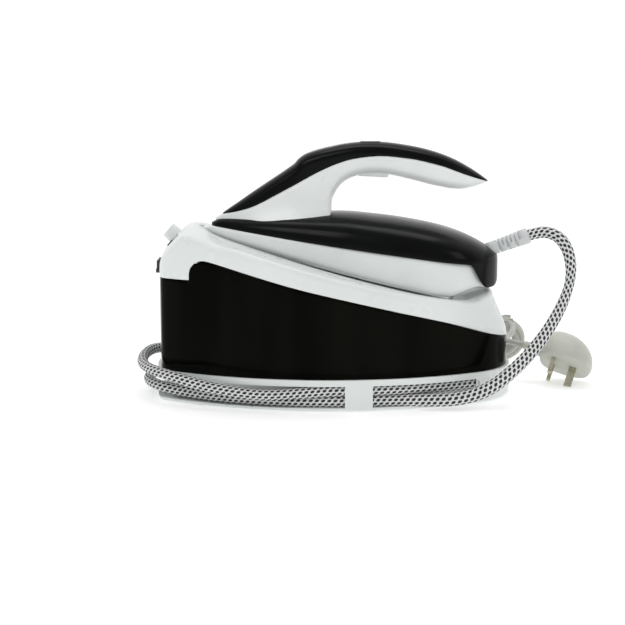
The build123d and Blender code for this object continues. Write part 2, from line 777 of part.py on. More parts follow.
# Mains lead: a short tail from the gland into a hank that stands on edge behind the station, then a
# tail from the hank round the stern to the plug.
HANK_X = (92, 222)
HANK_Y = (115, 139)
HANK_Z = (0.2, 64)
with BuildPart() as mains_hank:
    with BuildSketch(Plane.XZ.offset(-HANK_Y[1])):
        with Locations(((HANK_X[0] + HANK_X[1]) / 2, (HANK_Z[0] + HANK_Z[1]) / 2)):
            RectangleRounded(HANK_X[1] - HANK_X[0], HANK_Z[1] - HANK_Z[0], 30)
    extrude(amount=HANK_Y[1] - HANK_Y[0])
    with BuildSketch(Plane.XZ.offset(-HANK_Y[1] - 5)):
        with Locations(((HANK_X[0] + HANK_X[1]) / 2, (HANK_Z[0] + HANK_Z[1]) / 2)):
            SlotOverall(HANK_X[1] - HANK_X[0] - 44, 16)
    extrude(amount=HANK_Y[1] - HANK_Y[0] + 10, mode=Mode.SUBTRACT)
    fillet(mains_hank.edges().filter_by(GeomType.LINE, reverse=True), radius=4)
save(mains_hank, "mains_hank")

PLUG = Plane(origin=(247, 32, 21.9), x_dir=(0.93, -0.256, -0.25), z_dir=(0.35, 0.5, 0.79))
PLUG_SIZE = (52, 50, 17)
PIN_PITCH = 11.1

with BuildPart() as plug_body:
    with BuildSketch(PLUG):
        RectangleRounded(PLUG_SIZE[0], PLUG_SIZE[1], 12)
    extrude(amount=PLUG_SIZE[2], taper=8)
    fillet(plug_body.edges().group_by(SortBy.LENGTH)[-1], radius=1)
    with BuildSketch(Plane(PLUG.from_local_coords((-20, 0, 9)), x_dir=PLUG.y_dir, z_dir=-PLUG.x_dir)):
        Circle(6.5)
    extrude(amount=14, taper=5)
    with BuildSketch(PLUG):
        with Locations((2, 0)):
            RectangleRounded(13.4, 27.4, 1.7)
    extrude(amount=1.5, mode=Mode.SUBTRACT)
save(plug_body, "plug_body")

with BuildPart() as plug_fuse_cover:
    with BuildSketch(PLUG.offset(0.3)):
        with Locations((2, 0)):
            RectangleRounded(13, 27, 1.5)
    extrude(amount=1.2)
    with BuildSketch(PLUG.offset(-1)):
        with Locations((2, 0)):
            RectangleRounded(6, 1, 0.4)
    extrude(amount=1.9, mode=Mode.SUBTRACT)
save(plug_fuse_cover, "plug_fuse_cover")

with BuildPart() as plug_pins:
    with BuildSketch(PLUG):
        with Locations((PIN_PITCH + 3, 0)):
            Rectangle(8, 4)
    extrude(amount=-22.7)
    with BuildSketch(PLUG):
        with Locations((-PIN_PITCH + 3, PIN_PITCH), (-PIN_PITCH + 3, -PIN_PITCH)):
            Rectangle(4, 6.35)
    extrude(amount=-17.7)
save(plug_pins, "plug_pins")

plug_exit = PLUG.from_local_coords((-34, 0, 9))
MAINS_TAIL = [
    tuple(GLAND.from_local_coords((0, 0, 10))),
    tuple(GLAND.from_local_coords((0, 0, 22))),
    (171, 94, 16.5),
    (174, HANK_Y[0], 18),
]
MAINS_LEAD = [
    tuple(plug_exit),
    tuple(PLUG.from_local_coords((-50, 0, 9))),
    (188, 64, 39),
    (183, 85, 36),
    (192, 104, 31),
    (202, HANK_Y[0], 29),
]
tail_radii = cord_radii(MAINS_TAIL)
lead_radii = cord_radii(MAINS_LEAD)
print("mains radii", [round(r, 1) for r in tail_radii + lead_radii])
mains_tail = cord_tube(MAINS_TAIL, tail_radii, MAINS_D)
save(mains_tail, "mains_tail")
mains_lead = cord_tube(MAINS_LEAD, lead_radii, MAINS_D)
save(mains_lead, "mains_lead")

with BuildPart() as hank_tie:
    with Locations((200, (HANK_Y[0] + HANK_Y[1]) / 2, 48)):
        Box(9, HANK_Y[1] - HANK_Y[0] + 3, 20)
    add(mains_hank.part, mode=Mode.SUBTRACT)
    with Locations((200, HANK_Y[0] - 5, 48)):
        Box(11, 7, 11)
save(hank_tie, "hank_tie")
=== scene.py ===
"""Looks of the steam generator iron: finishes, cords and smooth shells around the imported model."""
import json

import math

import bmesh
import bpy
import numpy as np
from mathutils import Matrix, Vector


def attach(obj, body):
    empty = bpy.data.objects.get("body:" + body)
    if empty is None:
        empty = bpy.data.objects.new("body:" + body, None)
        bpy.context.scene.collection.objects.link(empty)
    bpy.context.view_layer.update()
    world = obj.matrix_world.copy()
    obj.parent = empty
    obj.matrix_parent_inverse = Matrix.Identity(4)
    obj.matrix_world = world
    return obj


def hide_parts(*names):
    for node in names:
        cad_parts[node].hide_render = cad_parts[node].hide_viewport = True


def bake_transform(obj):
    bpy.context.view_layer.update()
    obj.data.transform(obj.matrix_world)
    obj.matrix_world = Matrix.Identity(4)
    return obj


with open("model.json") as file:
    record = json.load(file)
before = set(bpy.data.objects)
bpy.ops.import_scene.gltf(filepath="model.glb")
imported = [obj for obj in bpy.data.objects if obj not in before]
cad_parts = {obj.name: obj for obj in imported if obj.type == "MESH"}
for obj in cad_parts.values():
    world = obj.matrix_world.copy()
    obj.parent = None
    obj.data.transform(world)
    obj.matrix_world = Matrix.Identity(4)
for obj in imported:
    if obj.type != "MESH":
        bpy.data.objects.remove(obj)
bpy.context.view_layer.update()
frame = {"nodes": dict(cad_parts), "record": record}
MM = 0.001
SOLE_SLOPE = 0.2373
SHELL_SLOPE = 0.137


# ---------------------------------------------------------------- camera
CAMERA_FAR = 1.6
CAMERA_RISE = math.radians(8)
TARGET = Vector((0, 0, 0.130))
SENSOR = 36.0
FRAME_PX = 625.0
FOCAL_PX = CAMERA_FAR / (1.06 * MM)

camera_data = bpy.data.cameras.new("camera")
camera_data.sensor_width = SENSOR
camera_data.lens = FOCAL_PX / FRAME_PX * SENSOR
camera_data.shift_x = -21.5 / FRAME_PX
camera_data.shift_y = -42.5 / FRAME_PX
camera = bpy.data.objects.new("camera", camera_data)
bpy.context.scene.collection.objects.link(camera)
away = Vector((0, -math.cos(CAMERA_RISE), math.sin(CAMERA_RISE)))
camera.location = TARGET + CAMERA_FAR * away
camera.rotation_euler = (math.pi / 2 - CAMERA_RISE, 0, 0)
bpy.context.scene.camera = camera


# ---------------------------------------------------------------- mesh helpers
def new_mesh(name, points, faces, smooth=True):
    """A mesh object from points in millimetres and faces, with outward normals."""
    mesh = bpy.data.meshes.new(name)
    mesh.from_pydata([tuple(MM * c for c in p) for p in points], [], faces)
    work = bmesh.new()
    work.from_mesh(mesh)
    bmesh.ops.recalc_face_normals(work, faces=work.faces)
    work.to_mesh(mesh)
    work.free()
    for polygon in mesh.polygons:
        polygon.use_smooth = smooth
    piece = bpy.data.objects.new(name, mesh)
    bpy.context.scene.collection.objects.link(piece)
    return piece


def loft(name, rings):
    """A closed skin over rings with the same number of points, capped at both ends."""
    count = len(rings[0])
    points = [p for ring in rings for p in ring]
    faces = []
    for k in range(len(rings) - 1):
        for i in range(count):
            j = (i + 1) % count
            faces.append((k * count + i, k * count + j, (k + 1) * count + j, (k + 1) * count + i))
    faces.append(tuple(range(count)))
    faces.append(tuple(range((len(rings) - 1) * count, len(rings) * count)))
    return new_mesh(name, points, faces)


def curve_of(*knots):
    """A smooth function through (x, value) knots, without overshoot."""
    xs = np.array([k[0] for k in knots], float)
    ys = np.array([k[1] for k in knots], float)
    gaps = np.diff(xs)
    slopes = np.diff(ys) / gaps
    tangents = np.zeros(len(xs))
    tangents[0], tangents[-1] = slopes[0], slopes[-1]
    for i in range(1, len(xs) - 1):
        if slopes[i - 1] * slopes[i] > 0:
            w1, w2 = 2 * gaps[i] + gaps[i - 1], gaps[i] + 2 * gaps[i - 1]
            tangents[i] = (w1 + w2) / (w1 / slopes[i - 1] + w2 / slopes[i])

    def value(x):
        x = min(max(x, xs[0]), xs[-1])
        i = min(int(np.searchsorted(xs, x, side="right")) - 1, len(xs) - 2)
        t = (x - xs[i]) / gaps[i]
        h00, h10 = (1 + 2 * t) * (1 - t) ** 2, t * (1 - t) ** 2
        h01, h11 = t * t * (3 - 2 * t), t * t * (t - 1)
        return h00 * ys[i] + h10 * gaps[i] * tangents[i] + h01 * ys[i + 1] + h11 * gaps[i] * tangents[i + 1]

    return value


def arc_height(a, b, c):
    """y as a function of x on the circle through three points, its upper side."""
    lhs = np.array([[2 * (q[0] - a[0]), 2 * (q[1] - a[1])] for q in (b, c)])
    rhs = np.array([q[0] ** 2 + q[1] ** 2 - a[0] ** 2 - a[1] ** 2 for q in (b, c)])
    centre = np.linalg.solve(lhs, rhs)
    radius = math.hypot(a[0] - centre[0], a[1] - centre[1])
    return lambda x: centre[1] + math.sqrt(max(radius ** 2 - (x - centre[0]) ** 2, 0.0))


def spaced(start, end, count, dense_start=False, dense_end=False):
    """Stations from start to end, closer together at the ends that round off."""
    t = np.linspace(0, 1, count)
    if dense_start and dense_end:
        t = (1 - np.cos(np.pi * t)) / 2
    elif dense_start:
        t = 1 - np.cos(np.pi * t / 2)
    elif dense_end:
        t = np.sin(np.pi * t / 2)
    return list(start + (end - start) * t)


# ---------------------------------------------------------------- materials
def shader(name, colour, rough, metallic=0.0, coat=0.0, spec=0.5):
    """A new material with its Principled shader."""
    mat = bpy.data.materials.new(name)
    mat.use_nodes = True
    bsdf = mat.node_tree.nodes["Principled BSDF"]
    bsdf.inputs["Base Color"].default_value = (*colour, 1)
    bsdf.inputs["Roughness"].default_value = rough
    bsdf.inputs["Metallic"].default_value = metallic
    bsdf.inputs["Coat Weight"].default_value = coat
    bsdf.inputs["Coat Roughness"].default_value = 0.08
    bsdf.inputs["Specular IOR Level"].default_value = spec
    return mat, mat.node_tree, bsdf


def link(tree, source, target):
    tree.links.new(source, target)


def node(tree, kind, **values):
    """A node with its properties and input values set by name."""
    made = tree.nodes.new(kind)
    for key, value in values.items():
        if key.startswith("in_"):
            made.inputs[int(key[3:])].default_value = value
        else:
            setattr(made, key, value)
    return made


def noise(tree, scale, detail=3.0, stretch=(1, 1, 1)):
    """Noise over the object's own coordinates, in features per metre."""
    where = node(tree, "ShaderNodeTexCoord")
    mapping = node(tree, "ShaderNodeMapping")
    mapping.inputs["Scale"].default_value = stretch
    field = node(tree, "ShaderNodeTexNoise")
    field.inputs["Scale"].default_value = scale
    field.inputs["Detail"].default_value = detail
    link(tree, where.outputs["Object"], mapping.inputs["Vector"])
    link(tree, mapping.outputs["Vector"], field.inputs["Vector"])
    return field.outputs["Fac"]


def remap(tree, value, low, high):
    """Scale a 0..1 value to low..high."""
    ranged = node(tree, "ShaderNodeMapRange")
    ranged.inputs["From Min"].default_value = 0.3
    ranged.inputs["From Max"].default_value = 0.7
    ranged.inputs["To Min"].default_value = low
    ranged.inputs["To Max"].default_value = high
    link(tree, value, ranged.inputs["Value"])
    return ranged.outputs["Result"]


def tint(tree, bsdf, value, dark, light):
    """Vary the base colour between two colours with a 0..1 value."""
    ramp = node(tree, "ShaderNodeValToRGB")
    ramp.color_ramp.elements[0].position = 0.32
    ramp.color_ramp.elements[1].position = 0.68
    ramp.color_ramp.elements[0].color = (*dark, 1)
    ramp.color_ramp.elements[1].color = (*light, 1)
    link(tree, value, ramp.inputs["Fac"])
    link(tree, ramp.outputs["Color"], bsdf.inputs["Base Color"])


def bump(tree, bsdf, value, depth, strength=0.5):
    """Raise the surface with a 0..1 value, depth in metres."""
    raised = node(tree, "ShaderNodeBump")
    raised.inputs["Distance"].default_value = depth
    raised.inputs["Strength"].default_value = strength
    link(tree, value, raised.inputs["Height"])
    link(tree, raised.outputs["Normal"], bsdf.inputs["Normal"])


def plastic(
    name, dark, light, rough, coat=0.0, spec=0.5, grain=900.0, grain_depth=0.00002, grain_strength=0.2,
):
    """Moulded plastic: faint colour drift, uneven gloss from handling, fine grain."""
    mat, tree, bsdf = shader(name, light, rough, coat=coat, spec=spec)
    tint(tree, bsdf, noise(tree, 18.0), dark, light)
    link(tree, remap(tree, noise(tree, 55.0), rough * 0.8, rough * 1.25), bsdf.inputs["Roughness"])
    bump(tree, bsdf, noise(tree, grain, 2.0), grain_depth, grain_strength)
    return mat


def metal(name, dark, light, rough, stretch=(1, 1, 1), grain=400.0):
    """Metal with a brushed or cast grain."""
    mat, tree, bsdf = shader(name, light, rough, metallic=1.0)
    field = noise(tree, grain, 4.0, stretch)
    tint(tree, bsdf, field, dark, light)
    link(tree, remap(tree, field, rough * 0.75, rough * 1.3), bsdf.inputs["Roughness"])
    bump(tree, bsdf, field, 0.00003, 0.25)
    return mat


def smoked_plastic(name, colour, clear, rough, spec=0.5, ior=1.46):
    """Glossy see-through plastic, tinted through its thickness, with lighter vertical streaks painted into
    its colour as reflection.
    """
    mat, tree, bsdf = shader(name, colour, rough, spec=spec)
    bsdf.inputs["Transmission Weight"].default_value = clear
    bsdf.inputs["IOR"].default_value = ior
    # painted reflection: a lighter colour, in streaks stretched up and down, mixed into the tint
    streak_reflection_colour = [3.5 * value for value in colour]
    tint(tree, bsdf, noise(tree, 22.0, 3.0, stretch=(1, 1, 0.15)), colour, streak_reflection_colour)
    link(tree, remap(tree, noise(tree, 30.0), rough * 0.7, rough * 1.5), bsdf.inputs["Roughness"])
    bump(tree, bsdf, noise(tree, 12.0, 1.0), 0.0004, 0.05)
    return mat


def braid(name):
    """Woven hose sleeve: white yarn with rows of small black lozenges, laid out on the hose's UVs."""
    mat, tree, bsdf = shader(name, (0.7, 0.7, 0.68), 0.75)
    uv = node(tree, "ShaderNodeUVMap", uv_map="around")
    split = node(tree, "ShaderNodeSeparateXYZ")
    link(tree, uv.outputs["UV"], split.inputs["Vector"])

    def math_node(kind, a, b=None, c=None):
        made = node(tree, "ShaderNodeMath", operation=kind)
        for slot, value in enumerate((a, b, c)):
            if value is None:
                continue
            if isinstance(value, (int, float)):
                made.inputs[slot].default_value = value
            else:
                link(tree, value, made.inputs[slot])
        return made.outputs[0]

    along, across = split.outputs["X"], split.outputs["Y"]
    row = math_node("FLOOR", across)
    odd = math_node("MODULO", row, 2.0)
    shifted = math_node("MULTIPLY_ADD", odd, 0.5, along)
    b = math_node("SUBTRACT", math_node("FRACT", across), 0.5)
    leaning = math_node("MULTIPLY_ADD", b, 0.28, shifted)
    a = math_node("SUBTRACT", math_node("FRACT", leaning), 0.5)
    a2 = math_node("POWER", math_node("ABSOLUTE", math_node("DIVIDE", a, 0.32)), 2.6)
    b2 = math_node("POWER", math_node("ABSOLUTE", math_node("DIVIDE", b, 0.40)), 2.6)
    inside = node(tree, "ShaderNodeMapRange", interpolation_type="SMOOTHSTEP")
    inside.inputs["From Min"].default_value = 1.25
    inside.inputs["From Max"].default_value = 0.75
    link(tree, math_node("ADD", a2, b2), inside.inputs["Value"])
    # the yarns: fine diagonal ridges both ways
    steps = []
    for lean in (1.0, -1.0):
        phase = math_node("MULTIPLY_ADD", along, 6.0, math_node("MULTIPLY", across, 3.0 * lean))
        steps.append(math_node("ABSOLUTE", math_node("SUBTRACT", math_node("FRACT", phase), 0.5)))
    yarn = math_node("MULTIPLY", math_node("MAXIMUM", steps[0], steps[1]), 2.0)
    fuzz = noise(tree, 700.0, 3.0)
    white = node(tree, "ShaderNodeValToRGB")
    white.color_ramp.elements[0].color = (0.50, 0.51, 0.50, 1)
    white.color_ramp.elements[1].color = (0.86, 0.87, 0.86, 1)
    link(tree, math_node("MULTIPLY_ADD", fuzz, 0.6, math_node("MULTIPLY", yarn, 0.5)), white.inputs["Fac"])
    black = node(tree, "ShaderNodeMixRGB")
    black.inputs["Color2"].default_value = (0.02, 0.02, 0.025, 1)
    link(tree, inside.outputs["Result"], black.inputs["Fac"])
    link(tree, white.outputs["Color"], black.inputs["Color1"])
    link(tree, black.outputs["Color"], bsdf.inputs["Base Color"])
    bump(tree, bsdf, yarn, 0.00025, 0.6)
    return mat


FINE_GRAIN = 2600.0
WHITE = plastic(
    "white_gloss", (0.745, 0.785, 0.77), (0.775, 0.81, 0.795), 0.31, grain=FINE_GRAIN, grain_strength=0.05,
)
COOL_WHITE = plastic(
    "cool_white", (0.76, 0.79, 0.785), (0.83, 0.86, 0.855), 0.33,
    coat=0.1, grain=FINE_GRAIN, grain_strength=0.1,
)
BLACK = plastic(
    "black_gloss", (0.001, 0.0012, 0.0012), (0.0025, 0.003, 0.003), 0.2, spec=0.12, grain_strength=0.05,
)
DARK_TRIM = plastic("dark_trim", (0.018, 0.018, 0.02), (0.035, 0.035, 0.04), 0.5, grain_strength=0.5)
RUBBER = plastic(
    "rubber_dark", (0.02, 0.02, 0.02), (0.045, 0.045, 0.045), 0.85, grain=1500.0, grain_strength=0.6,
)
SILICONE = plastic("silicone_grey", (0.56, 0.58, 0.58), (0.66, 0.68, 0.68), 0.5)
SMOKED = smoked_plastic("smoked", (0.002, 0.002, 0.0014), 0.3, 0.05, spec=0.08, ior=1.15)
CLEAR_TANK = smoked_plastic("clear_tank", (0.55, 0.57, 0.56), 0.75, 0.15)
STEEL = metal("steel", (0.42, 0.42, 0.42), (0.62, 0.62, 0.61), 0.35)
STAINLESS = metal("stainless", (0.50, 0.49, 0.47), (0.66, 0.65, 0.62), 0.28, stretch=(1, 1, 30))
SOLE = metal("sole_metal", (0.60, 0.60, 0.61), (0.74, 0.74, 0.75), 0.22, stretch=(0.05, 1, 1))
CAST = metal("cast_alloy", (0.30, 0.30, 0.31), (0.48, 0.48, 0.49), 0.55, grain=900.0)
BRASS = metal("pin_brass", (0.45, 0.43, 0.32), (0.52, 0.50, 0.39), 0.3, grain=200.0)
# partly painted reflection: this grey, lighter than the black, also stands for room light reflected on the
# handle's gloss
WINDOW_SHEEN = plastic("window_grey_sheen", (0.035, 0.036, 0.038), (0.06, 0.061, 0.063), 0.14, spec=0.5)
PCB = plastic("pcb_green", (0.01, 0.09, 0.03), (0.02, 0.14, 0.05), 0.4)
PUMP = plastic("pump_body", (0.05, 0.05, 0.055), (0.09, 0.09, 0.1), 0.55, grain_strength=0.5)
TUBE = plastic("silicone_tube", (0.5, 0.5, 0.48), (0.62, 0.62, 0.6), 0.4)
LEAD = plastic("lead_grey", (0.44, 0.44, 0.40), (0.56, 0.56, 0.52), 0.45, grain=1200.0, grain_strength=0.3)
PLUG = plastic("plug_white", (0.48, 0.49, 0.43), (0.56, 0.57, 0.51), 0.38, coat=0.1)
HOSE = braid("hose_braid")
BY_SLOT = {
    "white_gloss": WHITE, "cool_white": COOL_WHITE, "black_gloss": BLACK, "dark_trim": DARK_TRIM,
    "rubber_dark": RUBBER, "silicone_grey": SILICONE, "smoked": SMOKED, "clear_tank": CLEAR_TANK,
    "steel": STEEL, "stainless": STAINLESS, "sole_metal": SOLE, "cast_alloy": CAST, "pin_brass": BRASS,
    "pcb_green": PCB, "pump_body": PUMP, "silicone_tube": TUBE, "lead_grey": LEAD, "plug_white": PLUG,
    "hose_braid": HOSE,
}


def finish_piece(piece, mat, body, slot, *replaced):
    """Give a piece its material and body, and hide the CAD nodes it stands for. The slot argument is not
    used.
    """
    piece.data.materials.clear()
    piece.data.materials.append(mat)
    if replaced:
        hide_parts(*replaced)
    if body:
        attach(piece, body)


for entry in frame["record"]["subparts"]:
    shown = frame["nodes"][entry["node"]]
    shown.data.materials.clear()
    shown.data.materials.append(BY_SLOT[entry["material_slot"]])
frame["nodes"]["hose_inlet"].data.materials[0] = WHITE


# ---------------------------------------------------------------- cords
BOOT_TILT = math.radians(15.5)
BOOT_START = (160.0, 0.0, 154.5)
BOOT_LONG = 46.7


def boot_point(reach):
    """A point on the strain relief's axis."""
    return (
        BOOT_START[0] + reach * math.cos(BOOT_TILT),
        0.0,
        BOOT_START[2] + reach * math.sin(BOOT_TILT),
    )


INLET_AT = (146.0, -59.6, 20.9)
INLET_TURN = math.radians(27)

HOSE_ROUTE = [
    boot_point(BOOT_LONG),
    boot_point(BOOT_LONG + 8),
    (223, -2, 171.2),
    (235, -7, 167.5),
    (243, -11.5, 158.5),
    (247.5, -17, 145),
    (248, -24, 128),
    (242, -33, 108),
    (228, -46, 84),
    (209, -60, 60),
    (185, -76, 39),
    (158, -88, 20),
    (127, -94.5, 11.2),
    (95, -92, 9.95),
    (60, -92, 9.95),
    (25, -97, 9.95),
    (-12, -98.3, 9.95),
    (-50, -94.8, 9.95),
    (-88, -86.5, 10),
    (-122, -74.5, 10.3),
    (-152, -60, 11.5),
    (-180, -46, 14.5),
    (-196, -22, 15.8),
    (-198, 10, 15.8),
    (-188, 42, 14.5),
    (-164, 64, 12),
    (-132, 77, 10.3),
    (-98, 88, 10),
    (-62, 101.5, 10.6),
    (-32, 118, 8.6),
    (-14, 142, 6),
    (-13, 170, 5.5),
    (-29, 193, 5.5),
    (-56, 202, 5.5),
    (-83, 192, 5.6),
    (-101, 169, 7.5),
    (-116, 144, 12),
    (-135, 120, 18.5),
    (-158, 97, 26),
    (-181, 73, 33),
    (-198, 43, 38),
    (-205, 10, 36.5),
    (-202, -23, 33.5),
    (-189, -51, 33),
    (-166, -73, 31),
    (-138, -88.5, 25.5),
    (-106, -98.5, 20.5),
    (-72, -104, 17.5),
    (-38, -103.5, 19.3),
    (-4, -99.3, 20.9),
    (30, -96.4, 20.9),
    (64, -91, 20.9),
    (94, -82.6, 20.9),
    (146.0 - 26 * math.cos(INLET_TURN), -59.6 - 26 * math.sin(INLET_TURN), 20.9),
    INLET_AT,
]


def spline_line(name, route):
    """The points of the smooth NURBS line that a route in millimetres controls, in metres."""
    curve = bpy.data.curves.new(name, "CURVE")
    curve.dimensions = "3D"
    curve.resolution_u = 10
    spline = curve.splines.new("NURBS")
    spline.points.add(len(route) - 1)
    for point, (x, y, z) in zip(spline.points, route):
        point.co = (x * MM, y * MM, z * MM, 1)
    spline.order_u = 3
    spline.use_endpoint_u = True
    holder = bpy.data.objects.new(name, curve)
    bpy.context.scene.collection.objects.link(holder)
    bpy.context.view_layer.update()
    mesh = bpy.data.meshes.new_from_object(holder)
    line = [v.co.copy() for v in mesh.vertices]
    bpy.data.objects.remove(holder)
    bpy.data.meshes.remove(mesh)
    return line


def line_length(line):
    return sum((b - a).length for a, b in zip(line, line[1:]))


def tube(name, line, radii, sides, along_pitch, rows):
    """A skinned tube along a line. radii(s) gives the half sizes across and up at distance s.

    Its UV map counts pattern repeats: along the tube in pitches, round it in rows.
    """
    count = len(line)
    tangents = []
    for i in range(count):
        ahead = line[min(i + 1, count - 1)] - line[max(i - 1, 0)]
        tangents.append(ahead.normalized())
    side = Vector((0, 0, 1)).cross(tangents[0]).normalized()
    points, travelled, s = [], [], 0.0
    for i in range(count):
        if i:
            s += (line[i] - line[i - 1]).length
            side = (side - side.dot(tangents[i]) * tangents[i]).normalized()
        up = tangents[i].cross(side).normalized()
        flat = Vector((0, 0, 1)).cross(tangents[i])
        if flat.length > 0.2:
            side = side.lerp(flat.normalized(), 0.15).normalized()
            side = (side - side.dot(tangents[i]) * tangents[i]).normalized()
            up = tangents[i].cross(side).normalized()
        wide, high = radii(s)
        travelled.append(s)
        for k in range(sides):
            turn = 2 * math.pi * k / sides
            points.append(line[i] + wide * math.cos(turn) * side + high * math.sin(turn) * up)
    faces, uvs = [], []
    for i in range(count - 1):
        for k in range(sides):
            j = (k + 1) % sides
            faces.append((i * sides + k, i * sides + j, (i + 1) * sides + j, (i + 1) * sides + k))
            u0, u1 = travelled[i] / along_pitch, travelled[i + 1] / along_pitch
            v0, v1 = rows * k / sides, rows * (k + 1) / sides
            uvs += [(u0, v0), (u0, v1), (u1, v1), (u1, v0)]
    for first in (0, (count - 1) * sides):
        faces.append(tuple(first + k for k in range(sides)))
        uvs += [(0.0, 0.5)] * sides
    mesh = bpy.data.meshes.new(name)
    mesh.from_pydata([tuple(p) for p in points], [], faces)
    layer = mesh.uv_layers.new(name="around")
    for loop, uv in zip(layer.data, uvs):
        loop.uv = uv
    work = bmesh.new()
    work.from_mesh(mesh)
    bmesh.ops.recalc_face_normals(work, faces=work.faces)
    work.to_mesh(mesh)
    work.free()
    for polygon in mesh.polygons:
        polygon.use_smooth = len(polygon.vertices) == 4
    piece = bpy.data.objects.new(name, mesh)
    bpy.context.scene.collection.objects.link(piece)
    return piece


hose_line = spline_line("hose_line", HOSE_ROUTE)
hose_total = line_length(hose_line)


def hose_half(s):
    """Half width and half height of the soft sleeve: rounder in the groove, flattened in the loop."""
    loose = math.exp(-((s - 0.17) / 0.15) ** 2)
    ripple = 0.00018 * math.sin(s * 41.0) + 0.00012 * math.sin(s * 97.0 + 1.0)
    return 0.0055 - 0.0003 * loose + ripple, 0.0055 + 0.0020 * loose - ripple


hose = tube("steam_hose", hose_line, hose_half, 32, 0.0061, 10)
finish_piece(hose, HOSE, None, "hose_braid", "hose_loop", "hose_wound")
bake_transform(hose)

HANK_X = (92.0, 222.0)
HANK_Z = (0.2, 64.0)
MAINS_D = 0.0068
HANK_LAPS = 5.45
TURN_POINTS = 14
LEAD_CLEAR = 3.8
GLAND_AT = Vector((151.6, 64.3, 16.0))
GLAND_OUT = Vector((0.545, 0.8385, 0)).normalized()
PLUG_AT = Vector((247, 32, 21.9))
PLUG_X = Vector((0.93, -0.256, -0.25)).normalized()
PLUG_Z = Vector((0.35, 0.5, 0.79))
PLUG_Z = (PLUG_Z - PLUG_Z.dot(PLUG_X) * PLUG_X).normalized()


hank_place = curve_of((0, 118.8), (1, 125.6), (2, 132.8), (3, 132.4), (4, 125.4), (5.45, 118.9))
hank_inset = curve_of((0, 0), (2.2, 0), (2.9, 7.6), (4.6, 7.6), (5.3, 0.5), (5.45, 0))


def hank_turns():
    """Control points of the hank: flat oval turns side by side in two layers, slightly uneven."""
    middle = ((HANK_X[0] + HANK_X[1]) / 2, (HANK_Z[0] + HANK_Z[1]) / 2)
    points = []
    for i in range(int(HANK_LAPS * TURN_POINTS) + 1):
        lap = i / TURN_POINTS
        turn = -2 * math.pi * lap
        smaller = LEAD_CLEAR + hank_inset(lap) + 0.9 * (math.sin(2.3 * lap + 1.0) + 1)
        half_x = (HANK_X[1] - HANK_X[0]) / 2 - smaller
        half_z = (HANK_Z[1] - HANK_Z[0]) / 2 - smaller
        x = middle[0] + half_x * math.copysign(abs(math.sin(turn)) ** 0.8, math.sin(turn))
        z = middle[1] - half_z * math.copysign(abs(math.cos(turn)) ** 0.9, math.cos(turn))
        points.append((x, hank_place(lap), z))
    return points


def mains_route():
    """The lead's control points: out of the gland, round the hank, and up to the plug."""
    gland = [tuple(GLAND_AT + reach * GLAND_OUT) for reach in (10, 22)]
    tail = gland + [(171, 98, 12.5), (175, 110, 7.5), (169, 117.5, 4.8)]
    lead = [(196, 117, 56), (204, 106, 50), (200, 90, 45), (191, 76, 42.5), (191, 62, 42)]
    plug_end = [tuple(PLUG_AT + along * PLUG_X + 9 * PLUG_Z) for along in (-46, -34)]
    return tail + hank_turns() + lead + plug_end


mains_line = spline_line("mains_line", mains_route())
mains_total = line_length(mains_line)
mains = tube("mains_lead_wound", mains_line, lambda s: (MAINS_D / 2, MAINS_D / 2), 16, 0.01, 4)
finish_piece(mains, LEAD, "station", "lead_grey", "mains_tail", "mains_hank", "mains_lead")


# ---------------------------------------------------------------- iron: skirt and shell
def boat(tip, heel):
    """Half width of the iron's plan along X: a point at the nose, widest near the back."""
    bow = arc_height((tip + 4, -9), (tip, 0), (tip + 4, 9))
    side = arc_height((tip + 4, 9), (-20, 47), (heel - 82, 57.5))
    quarter = arc_height((heel - 82, 57.5), (heel - 31, 47), (heel - 6, 22))
    stern = arc_height((heel - 6, 22), (heel, 0), (heel - 6, -22))
    knots = [(tip, 0.0), (tip + 2, bow(tip + 2) ** 2), (tip + 5, side(tip + 5) ** 2)]
    knots += [(x, side(x) ** 2) for x in (tip + 16, -80, -50, -20, 20, 55)]
    knots += [(x, quarter(x) ** 2) for x in (heel - 72, heel - 52, heel - 31, heel - 18, heel - 8)]
    knots += [(heel - 4, stern(heel - 4) ** 2), (heel - 2, stern(heel - 2) ** 2), (heel, 0.0)]
    squared = curve_of(*knots)
    return lambda x: math.sqrt(max(squared(x), 0.0))


def skirt_top(x):
    """The joint between the white skirt and the black shell, with the slanted cut at the heel."""
    slope = 160.8 - SHELL_SLOPE * x
    if x < -129:
        slope -= 0.34 * (-129 - x)
    if x > 142:
        slope = 160.8 - SHELL_SLOPE * 142 - (x - 142) * 1.57
    return slope


skirt_bottom = curve_of(
    (-139, 172.0), (-136, 170.2), (-128, 167.6), (-60, 151.0), (16, 130.8), (67, 118.3), (95, 111.6),
    (108, 109.2), (118, 108.6), (129, 111.4), (139, 114.8), (150, 116.3), (158, 116.0),
)
SKIRT_HALF = boat(-139, 167)
SKIRT_EDGE = 7.0


def skirt_ring(x):
    """One section of the skirt: near-vertical sides that curl under at the sole."""
    low, high, half = skirt_bottom(x), skirt_top(x) - 0.45, SKIRT_HALF(x)
    high = max(high, low + 0.4)
    edge = min(SKIRT_EDGE, (high - low) * 0.8, max(half * 0.6, 0.2))
    right = []
    for k in range(7):
        turn = math.pi / 2 * k / 6
        right.append((half - edge * (1 - math.sin(turn)), low + edge * (1 - math.cos(turn))))
    tall = high - low - edge
    for k in range(1, 7):
        rise = k / 6
        right.append((half - 1.3 * rise ** 2 * min(1.0, half / 10), low + edge + tall * rise))
    right.append((max(right[-1][0] - 0.5, 0.05), high + 0.2))
    return [(x, -y, z) for y, z in right] + [(x, y, z) for y, z in reversed(right)]


skirt_x = spaced(-138.97, -96, 18, dense_start=True) + spaced(-90, 100, 26) + spaced(103, 157.8, 24)
skirt = loft("iron_skirt_skin", [skirt_ring(x) for x in skirt_x])
finish_piece(skirt, COOL_WHITE, "iron", "cool_white", "iron_skirt")

